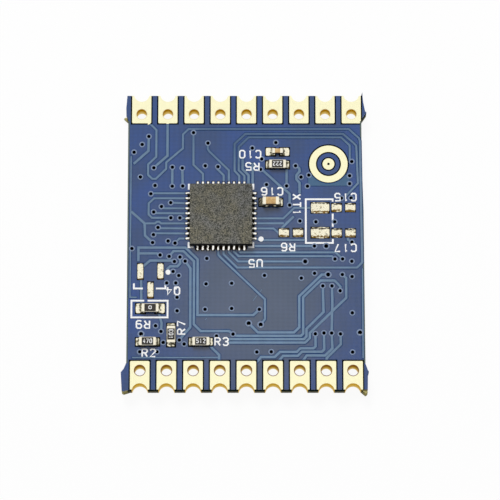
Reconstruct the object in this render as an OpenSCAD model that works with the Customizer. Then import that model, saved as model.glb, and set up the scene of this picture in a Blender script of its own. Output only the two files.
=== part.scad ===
// Wireless transceiver module: a small board with two rows of plated edge terminals, a leadless
// chip, chip resistors and capacitors, an antenna land, and bare lands for parts that are not fitted.
// The origin is on the back face, in the middle of the terminal grid. +X runs along the rows,
// +Y points to the far row and +Z out of the fitted face. All sizes are in millimetres.

/* [Terminals] */
// distance between neighbouring terminals of a row
pad_pitch = 2.54; // [2.3:0.02:2.8]
// distance between the two rows of pin holes
row_spacing = 25.4; // [23:0.1:28]
// width of a terminal land
pad_w = 1.85; // [1.4:0.05:2.0]
// reach of a land past its pin hole, towards the middle of the board
pad_reach = 0.92; // [0.7:0.02:1.2]
// corner radius of a land
pad_corner_r = 0.12; // [0.05:0.01:0.3]
// clear diameter of a pin hole
pin_hole_d = 1.0; // [0.7:0.05:1.2]
// clear diameter of the half hole in the board edge
edge_hole_d = 1.5; // [1.1:0.05:1.6]
// distance from a pin hole to the centre of its half hole
edge_hole_step = 2.0; // [1.8:0.05:2.2]
// thickness of the plated walls
plating_t = 0.04; // [0.03:0.01:0.08]

/* [Board] */
// finished thickness over both faces
board_t = 1.6; // [0.8:0.1:2.4]
// thickness of the copper lands and of the mask film on each face
film_t = 0.035; // [0.02:0.005:0.07]
// distance from the pin holes to the far and near edges
end_margin = 1.85; // [1.6:0.05:2.2]
// distance from the first terminal to the left edge
left_margin = 1.29; // [1.2:0.01:2]
// distance from the last terminal to the right edge, at the far end
right_margin_far = 0.97; // [0.95:0.01:1.6]
// distance from the last terminal to the right edge, half way along the board
right_margin_mid = 1.12; // [0.95:0.01:1.7]
// distance from the last terminal to the right edge, at the near end
right_margin_near = 1.18; // [1:0.01:1.8]
// bare strip between a gold land and the mask round it
mask_gap = 0.13; // [0.04:0.01:0.15]
// bare strip round the land of a part
land_gap = 0.04; // [0.02:0.01:0.06]

/* [Antenna land] */
// outside diameter of the ground ring
ring_od = 3.7; // [3.2:0.05:4]
// inside diameter of the ground ring
ring_id = 2.42; // [2:0.02:2.8]
// diameter of the feed land
feed_d = 1.14; // [0.8:0.02:1.4]
// diameter of the hole in the feed land
feed_hole_d = 0.25; // [0.2:0.05:0.5]

/* [Leadless chip] */
// side of the square body
chip_size = 6.0; // [5.6:0.1:6.4]
// thickness of the body
chip_h = 0.85; // [0.6:0.05:1.2]
// solder thickness under the body
chip_seat = 0.05; // [0.03:0.01:0.1]
// distance between neighbouring contacts
lead_pitch = 0.5; // [0.45:0.01:0.53]
// width of a contact
lead_w = 0.25; // [0.18:0.01:0.3]
// length of a contact under the body
lead_l = 0.4; // [0.3:0.05:0.5]
// thickness of a contact
lead_t = 0.2; // [0.1:0.05:0.3]
// reach of a contact's land outside the body
lead_toe = 0.45; // [0.3:0.05:0.5]
// reach of the bare strip between the contacts outside the body
chip_bare = 0.24; // [0.1:0.01:0.28]
// side of the heat pad under the body
paddle_size = 4.2; // [3.5:0.1:4.4]

/* [Resistors] */
// length over both ends
res_l = 1.6; // [1.4:0.05:1.8]
// width
res_w = 0.8; // [0.6:0.05:0.85]
// thickness
res_h = 0.45; // [0.35:0.05:0.6]
// length of a metal end
res_end_l = 0.27; // [0.15:0.01:0.4]
// thickness of a metal end
end_t = 0.03; // [0.02:0.01:0.05]
// thickness of the dark coat on the top
coat_t = 0.04; // [0.03:0.01:0.06]
// bare strip of ceramic beside the coat
coat_inset = 0.05; // [0.02:0.01:0.1]

/* [Capacitors] */
// length of the larger capacitor
cap_l = 1.6; // [1.4:0.05:1.8]
// width and thickness of the larger capacitor
cap_w = 0.8; // [0.6:0.05:0.85]
// length of its metal ends
cap_end_l = 0.35; // [0.2:0.05:0.5]
// length of the smaller capacitor
small_cap_l = 1.0; // [0.9:0.05:1.2]
// width and thickness of the smaller capacitor
small_cap_w = 0.5; // [0.4:0.05:0.6]
// length of its metal ends
small_cap_end_l = 0.24; // [0.15:0.01:0.3]

/* [Solder lands] */
// length of a land for a chip part
land_l = 1.0; // [0.9:0.05:1.1]
// width of a land for a chip part
land_w = 0.88; // [0.85:0.01:1]
// span over a pair of lands
land_span = 2.36; // [2.2:0.02:2.5]
// width of the lands under the link resistor
link_land_w = 1.05; // [0.9:0.05:1.2]
// span over the lands under the link resistor
link_span = 2.86; // [2.5:0.02:3]
// length of a crystal land
crystal_land_l = 1.8; // [1.5:0.05:1.9]
// width of a crystal land
crystal_land_w = 1.1; // [0.9:0.05:1.2]
// length of a transistor land
transistor_land_l = 1.65; // [1.4:0.05:1.8]
// width of a transistor land
transistor_land_w = 0.6; // [0.4:0.05:0.7]
// solder thickness under a chip part
part_seat = 0.04; // [0.03:0.01:0.08]
// height of the solder against the end of a chip part
fillet_h = 0.3; // [0.15:0.01:0.34]
// rise of the solder on a bare land
crown_h = 0.07; // [0.03:0.01:0.12]

/* [Copper and print] */
// width of a routed trace
trace_w = 0.24; // [0.15:0.01:0.26]
// width of a trace at the chip
fan_w = 0.2; // [0.12:0.01:0.24]
// width of the line along the edge of a copper area
seam_w = 0.13; // [0.08:0.01:0.2]
// rise of the mask over the copper
trace_rise = 0.025; // [0.015:0.005:0.04]
// clear hole of a via
via_hole_d = 0.34; // [0.2:0.02:0.36]
// outside diameter of a via's ring
via_ring_d = 0.56; // [0.5:0.02:0.6]
// clear hole of a wide via
wide_via_hole_d = 0.4; // [0.3:0.02:0.44]
// outside diameter of a wide via's ring
wide_via_ring_d = 0.66; // [0.6:0.02:0.7]
// width of a printed line
line_w = 0.17; // [0.12:0.01:0.2]
// thickness of the print above the copper
ink_t = 0.015; // [0.01:0.005:0.03]
// diameter of a printed dot
dot_d = 0.5; // [0.3:0.05:0.6]

/* [Hidden] */
columns = 9;
rows = ["near", "far"];
capacitors = 2;
resistors = 5;

// pad grid that the layout is drawn on
layout_pitch = 2.54;
layout_rows = 25.4;

board_top = board_t;
core_z = film_t;
core_t = board_t - 2 * film_t;
front_z = board_t - film_t;
copper_top = board_t + trace_rise;
print_h = trace_rise + ink_t;
cut = 1;
edge_y = row_spacing / 2 + end_margin;
left_x = -(columns - 1) / 2 * pad_pitch - left_margin;
right_far_x = (columns - 1) / 2 * pad_pitch + right_margin_far;
right_mid_x = (columns - 1) / 2 * pad_pitch + right_margin_mid;
right_near_x = (columns - 1) / 2 * pad_pitch + right_margin_near;

// layout place to board place
function at(p) = [p[0] * pad_pitch / layout_pitch, p[1] * row_spacing / layout_rows];

ring_at = at([7.92, 7.69]);
chip_at = at([-2.45, 2.5]);
// centre and turn of each fitted part, [place, turn, span of the lands, width of the lands]
capacitor_at = [[[3.0, 8.9], 0, land_span, land_w], [[2.35, 3.85], 0, land_span, land_w]];
resistor_at = [
    [[3.0, 7.6], 0, land_span, land_w],
    [[-9.2, -6.65], 0, link_span, link_land_w],
    [[-9.43, -9.93], 0, land_span, land_w],
    [[-7.19, -9.25], 90, land_span, land_w],
    [[-4.35, -9.93], 0, land_span, land_w]
];
// bare lands, [place, length along X, length along Y]
crystal_lands_at = [
    [[7.09, 3.31], crystal_land_l, crystal_land_w],
    [[7.09, 0.84], crystal_land_l, crystal_land_w]
];
transistor_lands_at = [
    [[-10.17, -3.0], transistor_land_w, transistor_land_l],
    [[-8.24, -2.96], transistor_land_w, transistor_land_l],
    [[-9.19, -4.83], transistor_land_w, transistor_land_l]
];
resistor_lands_at = [[[3.6, 0.84], land_l, land_w], [[4.96, 0.85], land_l, land_w]];
far_capacitor_lands_at = [[[8.68, 3.33], land_l, land_w], [[10.0, 3.33], land_l, land_w]];
near_capacitor_lands_at = [[[8.68, 0.8], land_l, land_w], [[10.0, 0.8], land_l, land_w]];

// traces away from the chip, [via at the first end, via at the last end, corners]; 2 is a wide via
runs = [
    [0, 1, [[-7.64, 12], [-7.64, 8.5], [-8.65, 7.6], [-8.95, 7.3]]],
    [1, 0, [[-9.45, 10.45], [-9.48, 9], [-10.9, 7.7]]],
    [0, 0, [[-0.37, 8.4], [-0.37, 7.15], [0.2, 6.55], [0.2, 5.6]]],
    [0, 0, [[0.6, 7.8], [0.6, 5.6]]],
    [1, 1, [[-7.16, 7.36], [-7.16, 5.46]]],
    [1, 1, [[-6.2, 7.28], [-6.15, 5.48]]],
    [0, 1, [[-11.1, 2.95], [-9.8, 1.75], [-9.75, 0.55], [-9.02, -0.15]]],
    [0, 1, [[-10.37, -2], [-10.37, -0.65], [-5.85, -0.65], [-4.68, -1.82], [-4.68, -7.3], [0.65, -7.3],
        [1.23, -6.74]]],
    [1, 1, [[-7.42, -1.52], [-7, -1], [-6.05, -1], [-5.03, -2], [-5.03, -8.2], [-4.36, -8.87],
        [-1.65, -8.87], [-1.28, -9.16]]],
    [1, 1, [[-5.88, -1.99], [-5.37, -2.7], [-5.37, -8.5], [-6.1, -9.35], [-6.4, -9.74]]],
    [0, 1, [[-10.3, -1.22], [-8.6, -1.22], [-8.29, -1.38]]],
    [0, 1, [[-9.9, -2.5], [-9.25, -1.93], [-7.1, -1.93], [-6.91, -2.02]]],
    [1, 0, [[-6.38, -1.59], [-6.35, -2.2], [-6.62, -2.5], [-7.3, -2.5], [-7.65, -2.8]]],
    [0, 0, [[-10.1, -3.4], [-10.05, -6.4]]],
    [0, 1, [[-8.45, -6.9], [-8.1, -8.1], [-8.16, -8.9]]],
    [0, 1, [[0.8, -0.49], [6.53, -0.49]]],
    [0, 0, [[3.2, 1.1], [4.55, 2.45]]],
    [1, 1, [[1.36, 7.14], [1.65, 6.98], [3.45, 5.28], [3.9, 4.95], [4.16, 4.7], [4.16, 3.57]]],
    [0, 1, [[3.87, 7.5], [3.87, 5.49]]],
    [1, 0, [[4.74, 7.5], [5.1, 7.25], [5.13, 6.95], [4.82, 6.55], [4.82, 6.15], [5.12, 5.8], [5.12, 4.75]]],
    [2, 2, [[7.83, -3.31], [7.22, -3.31], [5.05, -5.45], [5.05, -8.5], [4.55, -9], [1.1, -9], [0.22, -8.1]]],
    [1, 0, [[8.97, -4.91], [9, -4.5], [8.45, -3.9], [7.1, -3.9], [5.42, -5.55], [5.42, -9.1], [5.2, -9.33],
        [-0.95, -9.33], [-1.28, -9.16]]],
    [1, 0, [[7.31, -4.43], [7.37, -7], [5.73, -8.65], [5.73, -9.4], [5.48, -9.66], [-1.7, -9.66]]],
    [1, 0, [[9.19, -3.31], [9.55, -3.65], [9.55, -5.6], [6.05, -9.05], [6.05, -9.55], [5.6, -9.99],
        [-1.7, -9.99]]],
    [1, 1, [[8.19, -4.43], [8.22, -6], [8.13, -9.06]]],
    [0, 1, [[0.9, -12], [1.4, -11.4], [2.7, -11.4], [3.2, -10.9], [4.8, -10.9], [5.15, -10.55],
        [6.4, -10.55], [6.6, -10.35], [6.58, -9.13]]],
    [0, 1, [[2.9, -12], [3.5, -11.28], [4.9, -11.28], [5.3, -10.88], [7.2, -10.88], [7.42, -10.65],
        [7.4, -9.05]]],
    [0, 0, [[5.2, -12], [5.75, -11.25], [7.5, -11.25], [8.2, -10.55], [8.13, -9.06]]],
    [0, 1, [[7.63, -12], [7.65, -11.5], [9, -10.15], [8.98, -9.14]]],
    [0, 0, [[-3.4, -10], [-3.4, -10.4], [-2.6, -11.2], [-2.6, -12]]],
    [0, 0, [[9.75, 0.6], [9.75, 0.15], [10.13, -0.1]]]
];

// edges of copper areas, each a list of corners
seams = [
    [[-11.15, 8.5], [-11.15, -5.55], [-10.5, -5.55]],
    [[-10.9, -11.45], [-2.72, -11.45]],
    [[11.12, -2.7], [11.12, -11.5]]
];

// traces from the chip's contacts, [side, contact, via at the end, corners]
// sides are 0 far, 1 right, 2 near and 3 left; contacts count from the left or from the far end
fans = [
    [0, 1, 1, [[-4.2, 6.7], [-5.12, 7.6], [-5.13, 10.83]]],
    [0, 5, 1, [[-2.2, 6.55], [-2.8, 7.15], [-2.76, 7.41]]],
    [0, 6, 1, [[-1.7, 7.05], [-3.6, 8.95], [-3.75, 9.2], [-3.73, 9.78]]],
    [0, 8, 0, [[-0.7, 6.5], [-1.15, 7], [-1.15, 9.7], [-0.1, 10.7], [9.35, 10.7], [10.3, 9.85], [10.62, 9.5],
        [10.75, 5.75], [9.55, 4.45]]],
    [0, 9, 1, [[-0.2, 6.5], [-0.75, 7.05], [-0.75, 9.4], [0.2, 10.35], [9.15, 10.35], [9.98, 9.55],
        [9.98, 8.2], [10.17, 7.93]]],
    [1, 5, 0, [[3.55, 2.25], [4.6, 3.3], [6.5, 3.3]]],
    [1, 6, 0, [[3.6, 1.77]]],
    [1, 7, 0, [[2.6, 1.25], [3.2, 0.7]]],
    [1, 9, 0, [[1.2, 0.1], [5.6, 0.1]]],
    [2, 4, 2, [[-2.7, -1.35], [-2.5, -1.6], [1.77, -5.75], [1.77, -7.7], [1.36, -8.23]]],
    [2, 5, 0, [[-2.2, -1.3], [-0.9, -2.62], [10.6, -2.62], [11.1, -2.12], [10.97, 10], [10.86, 10.3],
        [9.9, 11.2], [-5.6, 11.2], [-6.15, 10.65], [-6.15, 9.25], [-7.75, 7.85], [-7.75, 7.2], [-8.75, 6.2],
        [-9.1, 6.2], [-9.5, 6.6], [-9.5, 7.65], [-8.72, 8.4], [-8.72, 11.1], [-9.6, 12]]],
    [2, 6, 2, [[-1.7, -1.1], [-0.8, -2.02], [5.64, -2.02]]],
    [2, 7, 1, [[-1.2, -1.05], [-0.75, -1.5], [8.2, -1.5], [8.49, -1.78]]],
    [2, 8, 1, [[-0.7, -1], [-0.58, -1.12], [8.55, -1.12], [9.22, -1.77]]],
    [3, 0, 1, [[-8.9, 4.75], [-9.22, 4.7]]],
    [3, 1, 1, [[-8.9, 4.25], [-9.42, 3.75], [-9.42, 2.65], [-9.1, 2.31], [-7.28, 2.31]]],
    [3, 2, 1, [[-7.3, 3.82]]],
    [3, 3, 1, [[-7.95, 3.25], [-8.19, 3.43]]],
    [3, 4, 1, [[-8.7, 2.77], [-8.93, 2.89]]],
    [3, 5, 1, [[-6.41, 2.3]]],
    [3, 6, 0, [[-8.2, 1.75], [-8.4, 1.92], [-8.6, 1.92], [-8.8, 1.75], [-9.7, 1.75]]],
    [3, 7, 1, [[-8.3, 1.27], [-8.51, 1.35]]],
    [3, 8, 1, [[-8.7, 0.77], [-8.94, 0.63]]],
    [3, 9, 1, [[-6.45, 0.25], [-6.86, -0.2]]]
];

// vias that tie the copper of the two faces together
stitches = [
    [-10.09, 9.64], [-10.87, 8.86], [-10.24, 6.38], [-8.82, 5.53], [-3.98, 7.5], [0.56, 9.28], [2.84, 9.83],
    [1.47, 8.19], [1.93, 5.62], [5.26, 6.37], [6.02, 6.57], [5.88, 5.46], [9.95, 6.51], [9.95, 5.71],
    [10.08, 4.28], [9.15, 4.27], [5.14, 1.99], [6.68, 1.91], [8.49, 1.91], [-7.53, 0], [-11, -0.74],
    [-7.03, -3.01], [-6.49, -3.41], [-7.64, -4.14], [-6.77, -4.14], [-6.64, -5.55], [-6.63, -6.88],
    [-3.8, -1.72], [-3.87, -4.23], [-1.42, -4.17], [-3.96, -6.73], [-1.42, -6.65], [1.73, -3.4],
    [10.13, -0.1], [10.11, -2], [6.53, -3.19], [5.26, -3.66], [10.12, -3.51], [10.12, -7.08],
    [10.12, -10.92], [0.99, -10.91], [2.37, -10.89], [-2.85, -9.35], [-8.68, -8.35], [-10.17, -10.89],
    [-8.53, -10.89], [-7.94, -9.98], [-5.94, -10.13]
];
wide_stitches = [[7.66, -0.49], [10.84, -9], [-10.06, -9.14]];

// printed lines, each a list of corners
printed_lines = [
    [[8.3, 3.92], [8.3, 4.15], [5.71, 4.15], [5.71, -0.19], [8.3, -0.19], [8.3, 0.2]],
    [[8.3, 2.72], [8.3, 1.42]],
    [[-9.78, -5.89], [-11, -5.89], [-11, -7.53], [-7.54, -7.53], [-7.54, -5.89], [-9.45, -5.89]],
    [[-10.78, -4.19], [-10.78, -4.69], [-9.92, -4.69]],
    [[-7.76, -4.24], [-7.76, -4.69], [-8.67, -4.69]]
];
printed_dots = [[-7.51, -3.08]];
// arm and stand-off of the printed marks at the chip's corners
chip_mark_l = 0.5;
chip_mark_gap = 0.11;
// place of the first-contact dot, from the chip's right near corner
chip_dot_step = [0.85, 0.7];

// copper area under the antenna ring, [left, near, right, far]
pour = [5.95, 5.5, 9.95, 6.6];

// where a trace leaves a terminal of the far row, by column and shift from its middle
far_exits = [[0, 0.72], [1, -0.02]];

contacts = 10;
land_inner = chip_size / 2 - lead_l;
land_outer = chip_size / 2 + lead_toe;
chip_z = board_top + chip_seat;
part_z = board_top + part_seat;

function column_x(i) = (i - (columns - 1) / 2) * pad_pitch;
function contact_step(k) = (k - (contacts - 1) / 2) * lead_pitch;
// outer end of a contact's land
function contact_end(side, k) = chip_at + (
    side == 0 ? [contact_step(k), land_outer] :
    side == 1 ? [land_outer, -contact_step(k)] :
    side == 2 ? [contact_step(k), -land_outer] :
    [-land_outer, -contact_step(k)]);
function run_path(r) = [for (p = r[2]) at(p)];
function fan_path(f) = concat([contact_end(f[0], f[1])], [for (p = f[3]) at(p)]);

// place and kind of every via, 1 plain and 2 wide
vias = concat(
    [for (r = runs) if (r[0] > 0) [at(r[2][0]), r[0]]],
    [for (r = runs) if (r[1] > 0) [at(r[2][len(r[2]) - 1]), r[1]]],
    [for (f = fans) if (f[2] > 0) [at(f[3][len(f[3]) - 1]), f[2]]],
    [for (p = stitches) [at(p), 1]],
    [for (p = wide_stitches) [at(p), 2]]
);
function via_hole(v) = v[1] == 2 ? wide_via_hole_d : via_hole_d;
function via_ring(v) = v[1] == 2 ? wide_via_ring_d : via_ring_d;

// outline of a line of even width with mitred corners
function across(a, b) = let (d = (b - a) / norm(b - a)) [-d[1], d[0]];
function beside(p, i, h) =
    i == 0 ? p[0] + h * across(p[0], p[1]) :
    i == len(p) - 1 ? p[i] + h * across(p[i - 1], p[i]) :
    let (m = across(p[i - 1], p[i]), n = across(p[i], p[i + 1])) p[i] + h * (m + n) / (1 + m * n);
module ribbon(p, w) {
    last = len(p) - 1;
    polygon(concat(
        [for (i = [0 : last]) beside(p, i, w / 2)],
        [for (i = [last : -1 : 0]) beside(p, i, -w / 2)]));
}
function arc(c, r, a0, a1, n = 5) = [for (i = [0 : n]) let (a = a0 + (a1 - a0) * i / n)
    c + r * [cos(a), sin(a)]];

// board edge, with the rough stubs left at the four corners where the panel was snapped apart
module board_outline() {
    polygon([
        [left_x, edge_y - 2.42], [left_x - 0.19, edge_y - 2.05], [left_x - 0.21, edge_y - 1.25],
        [left_x - 0.11, edge_y], [right_far_x, edge_y], [right_far_x + 0.11, edge_y + 0.38],
        [right_far_x + 0.18, edge_y - 0.55], [right_far_x + 0.37, edge_y - 1.55],
        [right_far_x + 0.5, edge_y - 1.66], [right_far_x, edge_y - 2.4],
        [right_far_x, edge_y - 6.1], [right_mid_x, edge_y - 11.6],
        [right_near_x, 2.5 - edge_y], [right_near_x + 0.22, 1.9 - edge_y],
        [right_near_x + 0.32, 1.75 - edge_y], [right_near_x + 0.23, 1.5 - edge_y],
        [right_near_x + 0.2, -edge_y], [left_x + 0.36, -edge_y],
        [left_x - 0.25, -edge_y - 0.2], [left_x - 0.42, -edge_y - 0.1], [left_x - 0.52, 1.68 - edge_y],
        [left_x - 0.25, 2 - edge_y], [left_x, 2.6 - edge_y]
    ]);
}

// bare glass fibre that was torn out past the mask at two of the stubs, [height, corners]
torn_fibres = [
    [0.5, [[left_x + 0.1, edge_y - 2.5], [left_x - 0.45, edge_y - 1.98], [left_x - 0.3, edge_y - 1.9],
        [left_x - 0.1, edge_y - 2]]],
    [1.4, [[right_near_x - 0.3, 0.1 - edge_y], [right_near_x - 0.36, -edge_y - 0.04],
        [right_near_x + 0.02, -edge_y - 0.36], [right_near_x + 0.2, -edge_y - 0.2],
        [right_near_x + 0.12, 0.1 - edge_y]]]
];

// moves its child to a terminal, with +Y out of the board
module on_terminal(row, i) {
    translate([column_x(i), (row == "far" ? 1 : -1) * row_spacing / 2, 0])
        mirror([0, row == "far" ? 0 : 1, 0])
            children();
}

module on_terminals() {
    for (r = rows, i = [0 : columns - 1]) {
        on_terminal(r, i) children();
    }
}

module land_shape() {
    x = pad_w / 2 - pad_corner_r;
    y = pad_corner_r - pad_reach;
    polygon(concat(
        [[-pad_w / 2, end_margin]],
        arc([-x, y], pad_corner_r, 180, 270),
        arc([x, y], pad_corner_r, 270, 360),
        [[pad_w / 2, end_margin]]));
}

// one terminal: a land on each face, the lined pin hole and the lined half hole in the edge
module terminal(exits) {
    color("gold")
        difference() {
            union() {
                for (z = [0, front_z]) {
                    translate([0, 0, z]) linear_extrude(film_t) land_shape();
                }
                cylinder(d = pin_hole_d + 2 * plating_t, h = board_t, $fn = 48);
                intersection() {
                    translate([0, edge_hole_step, 0])
                        cylinder(d = edge_hole_d + 2 * plating_t, h = board_t, $fn = 64);
                    translate([-pad_w / 2, 0, 0]) cube([pad_w, end_margin, board_t]);
                }
                for (x = exits) {
                    translate([x - trace_w / 2, -pad_reach - mask_gap, front_z])
                        cube([trace_w, pad_reach / 2, film_t]);
                }
            }
            translate([0, 0, -cut]) cylinder(d = pin_hole_d, h = board_t + 2 * cut, $fn = 48);
            translate([0, edge_hole_step, -cut])
                cylinder(d = edge_hole_d, h = board_t + 2 * cut, $fn = 64);
        }
}

// drilled walls before plating
module drill(h) {
    on_terminals() {
        cylinder(d = pin_hole_d + 2 * plating_t, h = h, $fn = 48);
        translate([0, edge_hole_step, 0]) cylinder(d = edge_hole_d + 2 * plating_t, h = h, $fn = 64);
    }
    translate(ring_at) cylinder(d = feed_hole_d, h = h, $fn = 24);
}

module via_drill(h) {
    for (v = vias) {
        translate(v[0]) cylinder(d = via_hole(v) + 2 * plating_t, h = h, $fn = 24);
    }
}

module via_discs(z, h) {
    for (v = vias) {
        translate([v[0][0], v[0][1], z]) cylinder(d = via_ring(v), h = h, $fn = 32);
    }
}

module laminate() {
    color("darkolivegreen")
        difference() {
            union() {
                translate([0, 0, core_z]) linear_extrude(core_t) board_outline();
                for (t = torn_fibres) {
                    translate([0, 0, core_z]) linear_extrude(min(t[0], core_t)) polygon(t[1]);
                }
            }
            drill(board_t);
            via_drill(board_t);
        }
}

module terminal_openings(h) {
    on_terminals()
        translate([-pad_w / 2 - mask_gap, -pad_reach - mask_gap, 0])
            cube([pad_w + 2 * mask_gap, pad_reach + end_margin + cut, h]);
}

// a block on a land, wider than the land by grow on each side
module on_land(p, l, w, grow, h) {
    translate(at(p)) translate([-l / 2 - grow, -w / 2 - grow, 0]) cube([l + 2 * grow, w + 2 * grow, h]);
}

module part_land_openings(p, h) {
    translate(at(p[0]))
        rotate([0, 0, p[1]])
            for (s = [-1, 1]) {
                translate([s * (p[2] - land_l) / 2 - land_l / 2 - land_gap, -p[3] / 2 - land_gap, 0])
                    cube([land_l + 2 * land_gap, p[3] + 2 * land_gap, h]);
            }
}

// places in the front mask that leave metal bare
module front_openings(z, h) {
    translate([0, 0, z]) {
        terminal_openings(h);
        for (p = concat(capacitor_at, resistor_at)) {
            part_land_openings(p, h);
        }
        for (g = [crystal_lands_at, transistor_lands_at, resistor_lands_at, far_capacitor_lands_at,
                near_capacitor_lands_at], p = g) {
            on_land(p[0], p[1], p[2], land_gap, h);
        }
        strip = (contacts - 1) * lead_pitch + lead_w + 2 * land_gap;
        translate(chip_at) {
            for (a = [0 : 90 : 270]) {
                rotate([0, 0, a])
                    translate([land_inner - land_gap, -strip / 2, 0])
                        cube([lead_l + chip_bare + land_gap, strip, h]);
            }
            translate([-paddle_size / 2, -paddle_size / 2, 0]) cube([paddle_size, paddle_size, h]);
        }
        on_contacts()
            translate([chip_size / 2, -lead_w / 2 - land_gap, 0])
                cube([lead_toe + land_gap, lead_w + 2 * land_gap, h]);
        translate(ring_at) {
            difference() {
                cylinder(d = ring_od + 2 * mask_gap, h = h, $fn = 96);
                translate([0, 0, -cut]) cylinder(d = ring_id - 2 * mask_gap, h = h + 2 * cut, $fn = 96);
            }
            cylinder(d = feed_d + 2 * mask_gap, h = h, $fn = 48);
        }
    }
}

module front_solder_mask() {
    color("royalblue")
        difference() {
            translate([0, 0, front_z]) linear_extrude(film_t) board_outline();
            front_openings(front_z - cut, film_t + 2 * cut);
            via_drill(board_t + cut);
        }
}

module back_solder_mask() {
    color("royalblue")
        difference() {
            linear_extrude(film_t) board_outline();
            translate([0, 0, -cut]) terminal_openings(film_t + 2 * cut);
            via_discs(-cut, film_t + 2 * cut);
            translate([ring_at[0], ring_at[1], -cut])
                cylinder(d = feed_hole_d, h = film_t + 2 * cut, $fn = 24);
        }
}

module antenna_ring() {
    color("gold")
        translate([ring_at[0], ring_at[1], front_z])
            difference() {
                cylinder(d = ring_od, h = film_t, $fn = 96);
                translate([0, 0, -cut]) cylinder(d = ring_id, h = film_t + 2 * cut, $fn = 96);
            }
}

module antenna_feed_land() {
    color("gold")
        translate([ring_at[0], ring_at[1], front_z])
            difference() {
                cylinder(d = feed_d, h = film_t, $fn = 48);
                translate([0, 0, -cut]) cylinder(d = feed_hole_d, h = film_t + 2 * cut, $fn = 24);
            }
}

// moves its child to each contact, with +X out of the chip
module on_contacts() {
    translate(chip_at)
        for (a = [0 : 90 : 270], k = [0 : contacts - 1]) {
            rotate([0, 0, a]) translate([0, contact_step(k), 0]) children();
        }
}

module contact_blocks() {
    on_contacts()
        translate([land_inner, -lead_w / 2, chip_z]) cube([lead_l, lead_w, lead_t]);
}

// square with the corner of the first contact cut off
module heat_pad_block(z, h) {
    s = paddle_size / 2;
    c = lead_l;
    translate([chip_at[0], chip_at[1], z])
        linear_extrude(h) polygon([[-s, -s], [s - c, -s], [s, c - s], [s, s], [-s, s]]);
}

module chip_body() {
    color("dimgray")
        difference() {
            translate([chip_at[0] - chip_size / 2, chip_at[1] - chip_size / 2, chip_z])
                cube([chip_size, chip_size, chip_h]);
            contact_blocks();
            heat_pad_block(chip_z, lead_t);
        }
}

module chip_contacts() {
    color("silver") contact_blocks();
}

module chip_heat_pad() {
    color("silver") heat_pad_block(chip_z, lead_t);
}

// solder from the land up the end of a part, drawn along X: the land runs from x0 to x1 and the
// part's end stands at xe
module solder_joint(x0, x1, xe, w, seat, rise) {
    run = x1 - xe;
    h = min(rise, run);
    base = seat / 2;
    r = (run * run + (h - base) * (h - base)) / (2 * (h - base));
    turn = asin(run / r);
    translate([0, w / 2, 0])
        rotate([90, 0, 0])
            linear_extrude(w)
                polygon(concat(
                    [[x0, front_z], [x1, front_z]],
                    arc([x1, board_top + base + r], r, 270, 270 - turn, 8),
                    [[xe, board_top + seat], [x0, board_top + seat]]));
}

module chip_solder() {
    color("lightgray") {
        on_contacts()
            solder_joint(land_inner, land_outer, chip_size / 2, lead_w, chip_seat, chip_seat + lead_t);
        heat_pad_block(front_z, film_t + chip_seat);
    }
}

module on_part(p) {
    translate(at(p[0])) rotate([0, 0, p[1]]) children();
}

// block centred on the part's middle, standing on its lowest face
module block(l, w, z, h) {
    translate([-l / 2, -w / 2, z]) cube([l, w, h]);
}

function cap_size(i) = i == 0 ? [small_cap_l, small_cap_w, small_cap_end_l] : [cap_l, cap_w, cap_end_l];

module capacitor_core(i) {
    s = cap_size(i);
    block(s[0] - 2 * end_t, s[1] - 2 * end_t, part_z + end_t, s[1] - 2 * end_t);
}

module capacitor_body(i) {
    color("tan") on_part(capacitor_at[i]) capacitor_core(i);
}

// metal cups over both ends
module capacitor_ends(i) {
    s = cap_size(i);
    color("silver")
        on_part(capacitor_at[i])
            difference() {
                block(s[0], s[1], part_z, s[1]);
                block(s[0] - 2 * s[2], s[1] + 2 * cut, part_z - cut, s[1] + 2 * cut);
                capacitor_core(i);
            }
}

module resistor_core() {
    block(res_l - 2 * end_t, res_w, part_z + end_t, res_h - 2 * end_t);
}

module resistor_body(i) {
    color("ivory") on_part(resistor_at[i]) resistor_core();
}

module resistor_coat(i) {
    color("black")
        on_part(resistor_at[i])
            block(res_l - 2 * res_end_l, res_w - 2 * coat_inset, part_z + res_h - end_t, coat_t);
}

// metal wrapped over the top, the end and the underside
module resistor_ends(i) {
    color("silver")
        on_part(resistor_at[i])
            difference() {
                block(res_l, res_w, part_z, res_h);
                block(res_l - 2 * res_end_l, res_w + 2 * cut, part_z - cut, res_h + 2 * cut);
                block(res_l - 2 * end_t, res_w + 2 * cut, part_z + end_t, res_h - 2 * end_t);
            }
}

module chip_part_solder() {
    color("lightgray") {
        for (i = [0 : capacitors - 1]) {
            joints(capacitor_at[i], cap_size(i)[0]);
        }
        for (p = resistor_at) {
            joints(p, res_l);
        }
    }
}

module joints(p, part_l) {
    on_part(p)
        for (a = [0, 180]) {
            rotate([0, 0, a])
                solder_joint(p[2] / 2 - land_l, p[2] / 2, part_l / 2, p[3], part_seat, fillet_h);
        }
}

// bare lands with a low crown of solder
module tinned_lands(places) {
    color("lightgoldenrodyellow")
        for (p = places) {
            half = norm([p[1], p[2]]) / 2;
            r = (half * half + crown_h * crown_h) / (2 * crown_h);
            c = at(p[0]);
            intersection() {
                translate([0, 0, front_z]) on_land(p[0], p[1], p[2], 0, film_t + 2 * crown_h);
                translate([c[0], c[1], board_top + crown_h - r]) sphere(r, $fn = 240);
            }
        }
}

module trace_blocks() {
    translate([0, 0, board_top]) {
        for (r = runs) {
            linear_extrude(trace_rise) ribbon(run_path(r), trace_w);
        }
        for (f = fans) {
            linear_extrude(trace_rise) ribbon(fan_path(f), fan_w);
        }
        for (p = seams) {
            linear_extrude(trace_rise) ribbon([for (q = p) at(q)], seam_w);
        }
        a = at([pour[0], pour[1]]);
        b = at([pour[2], pour[3]]);
        translate(a) cube([b[0] - a[0], b[1] - a[1], trace_rise]);
    }
}

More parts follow.
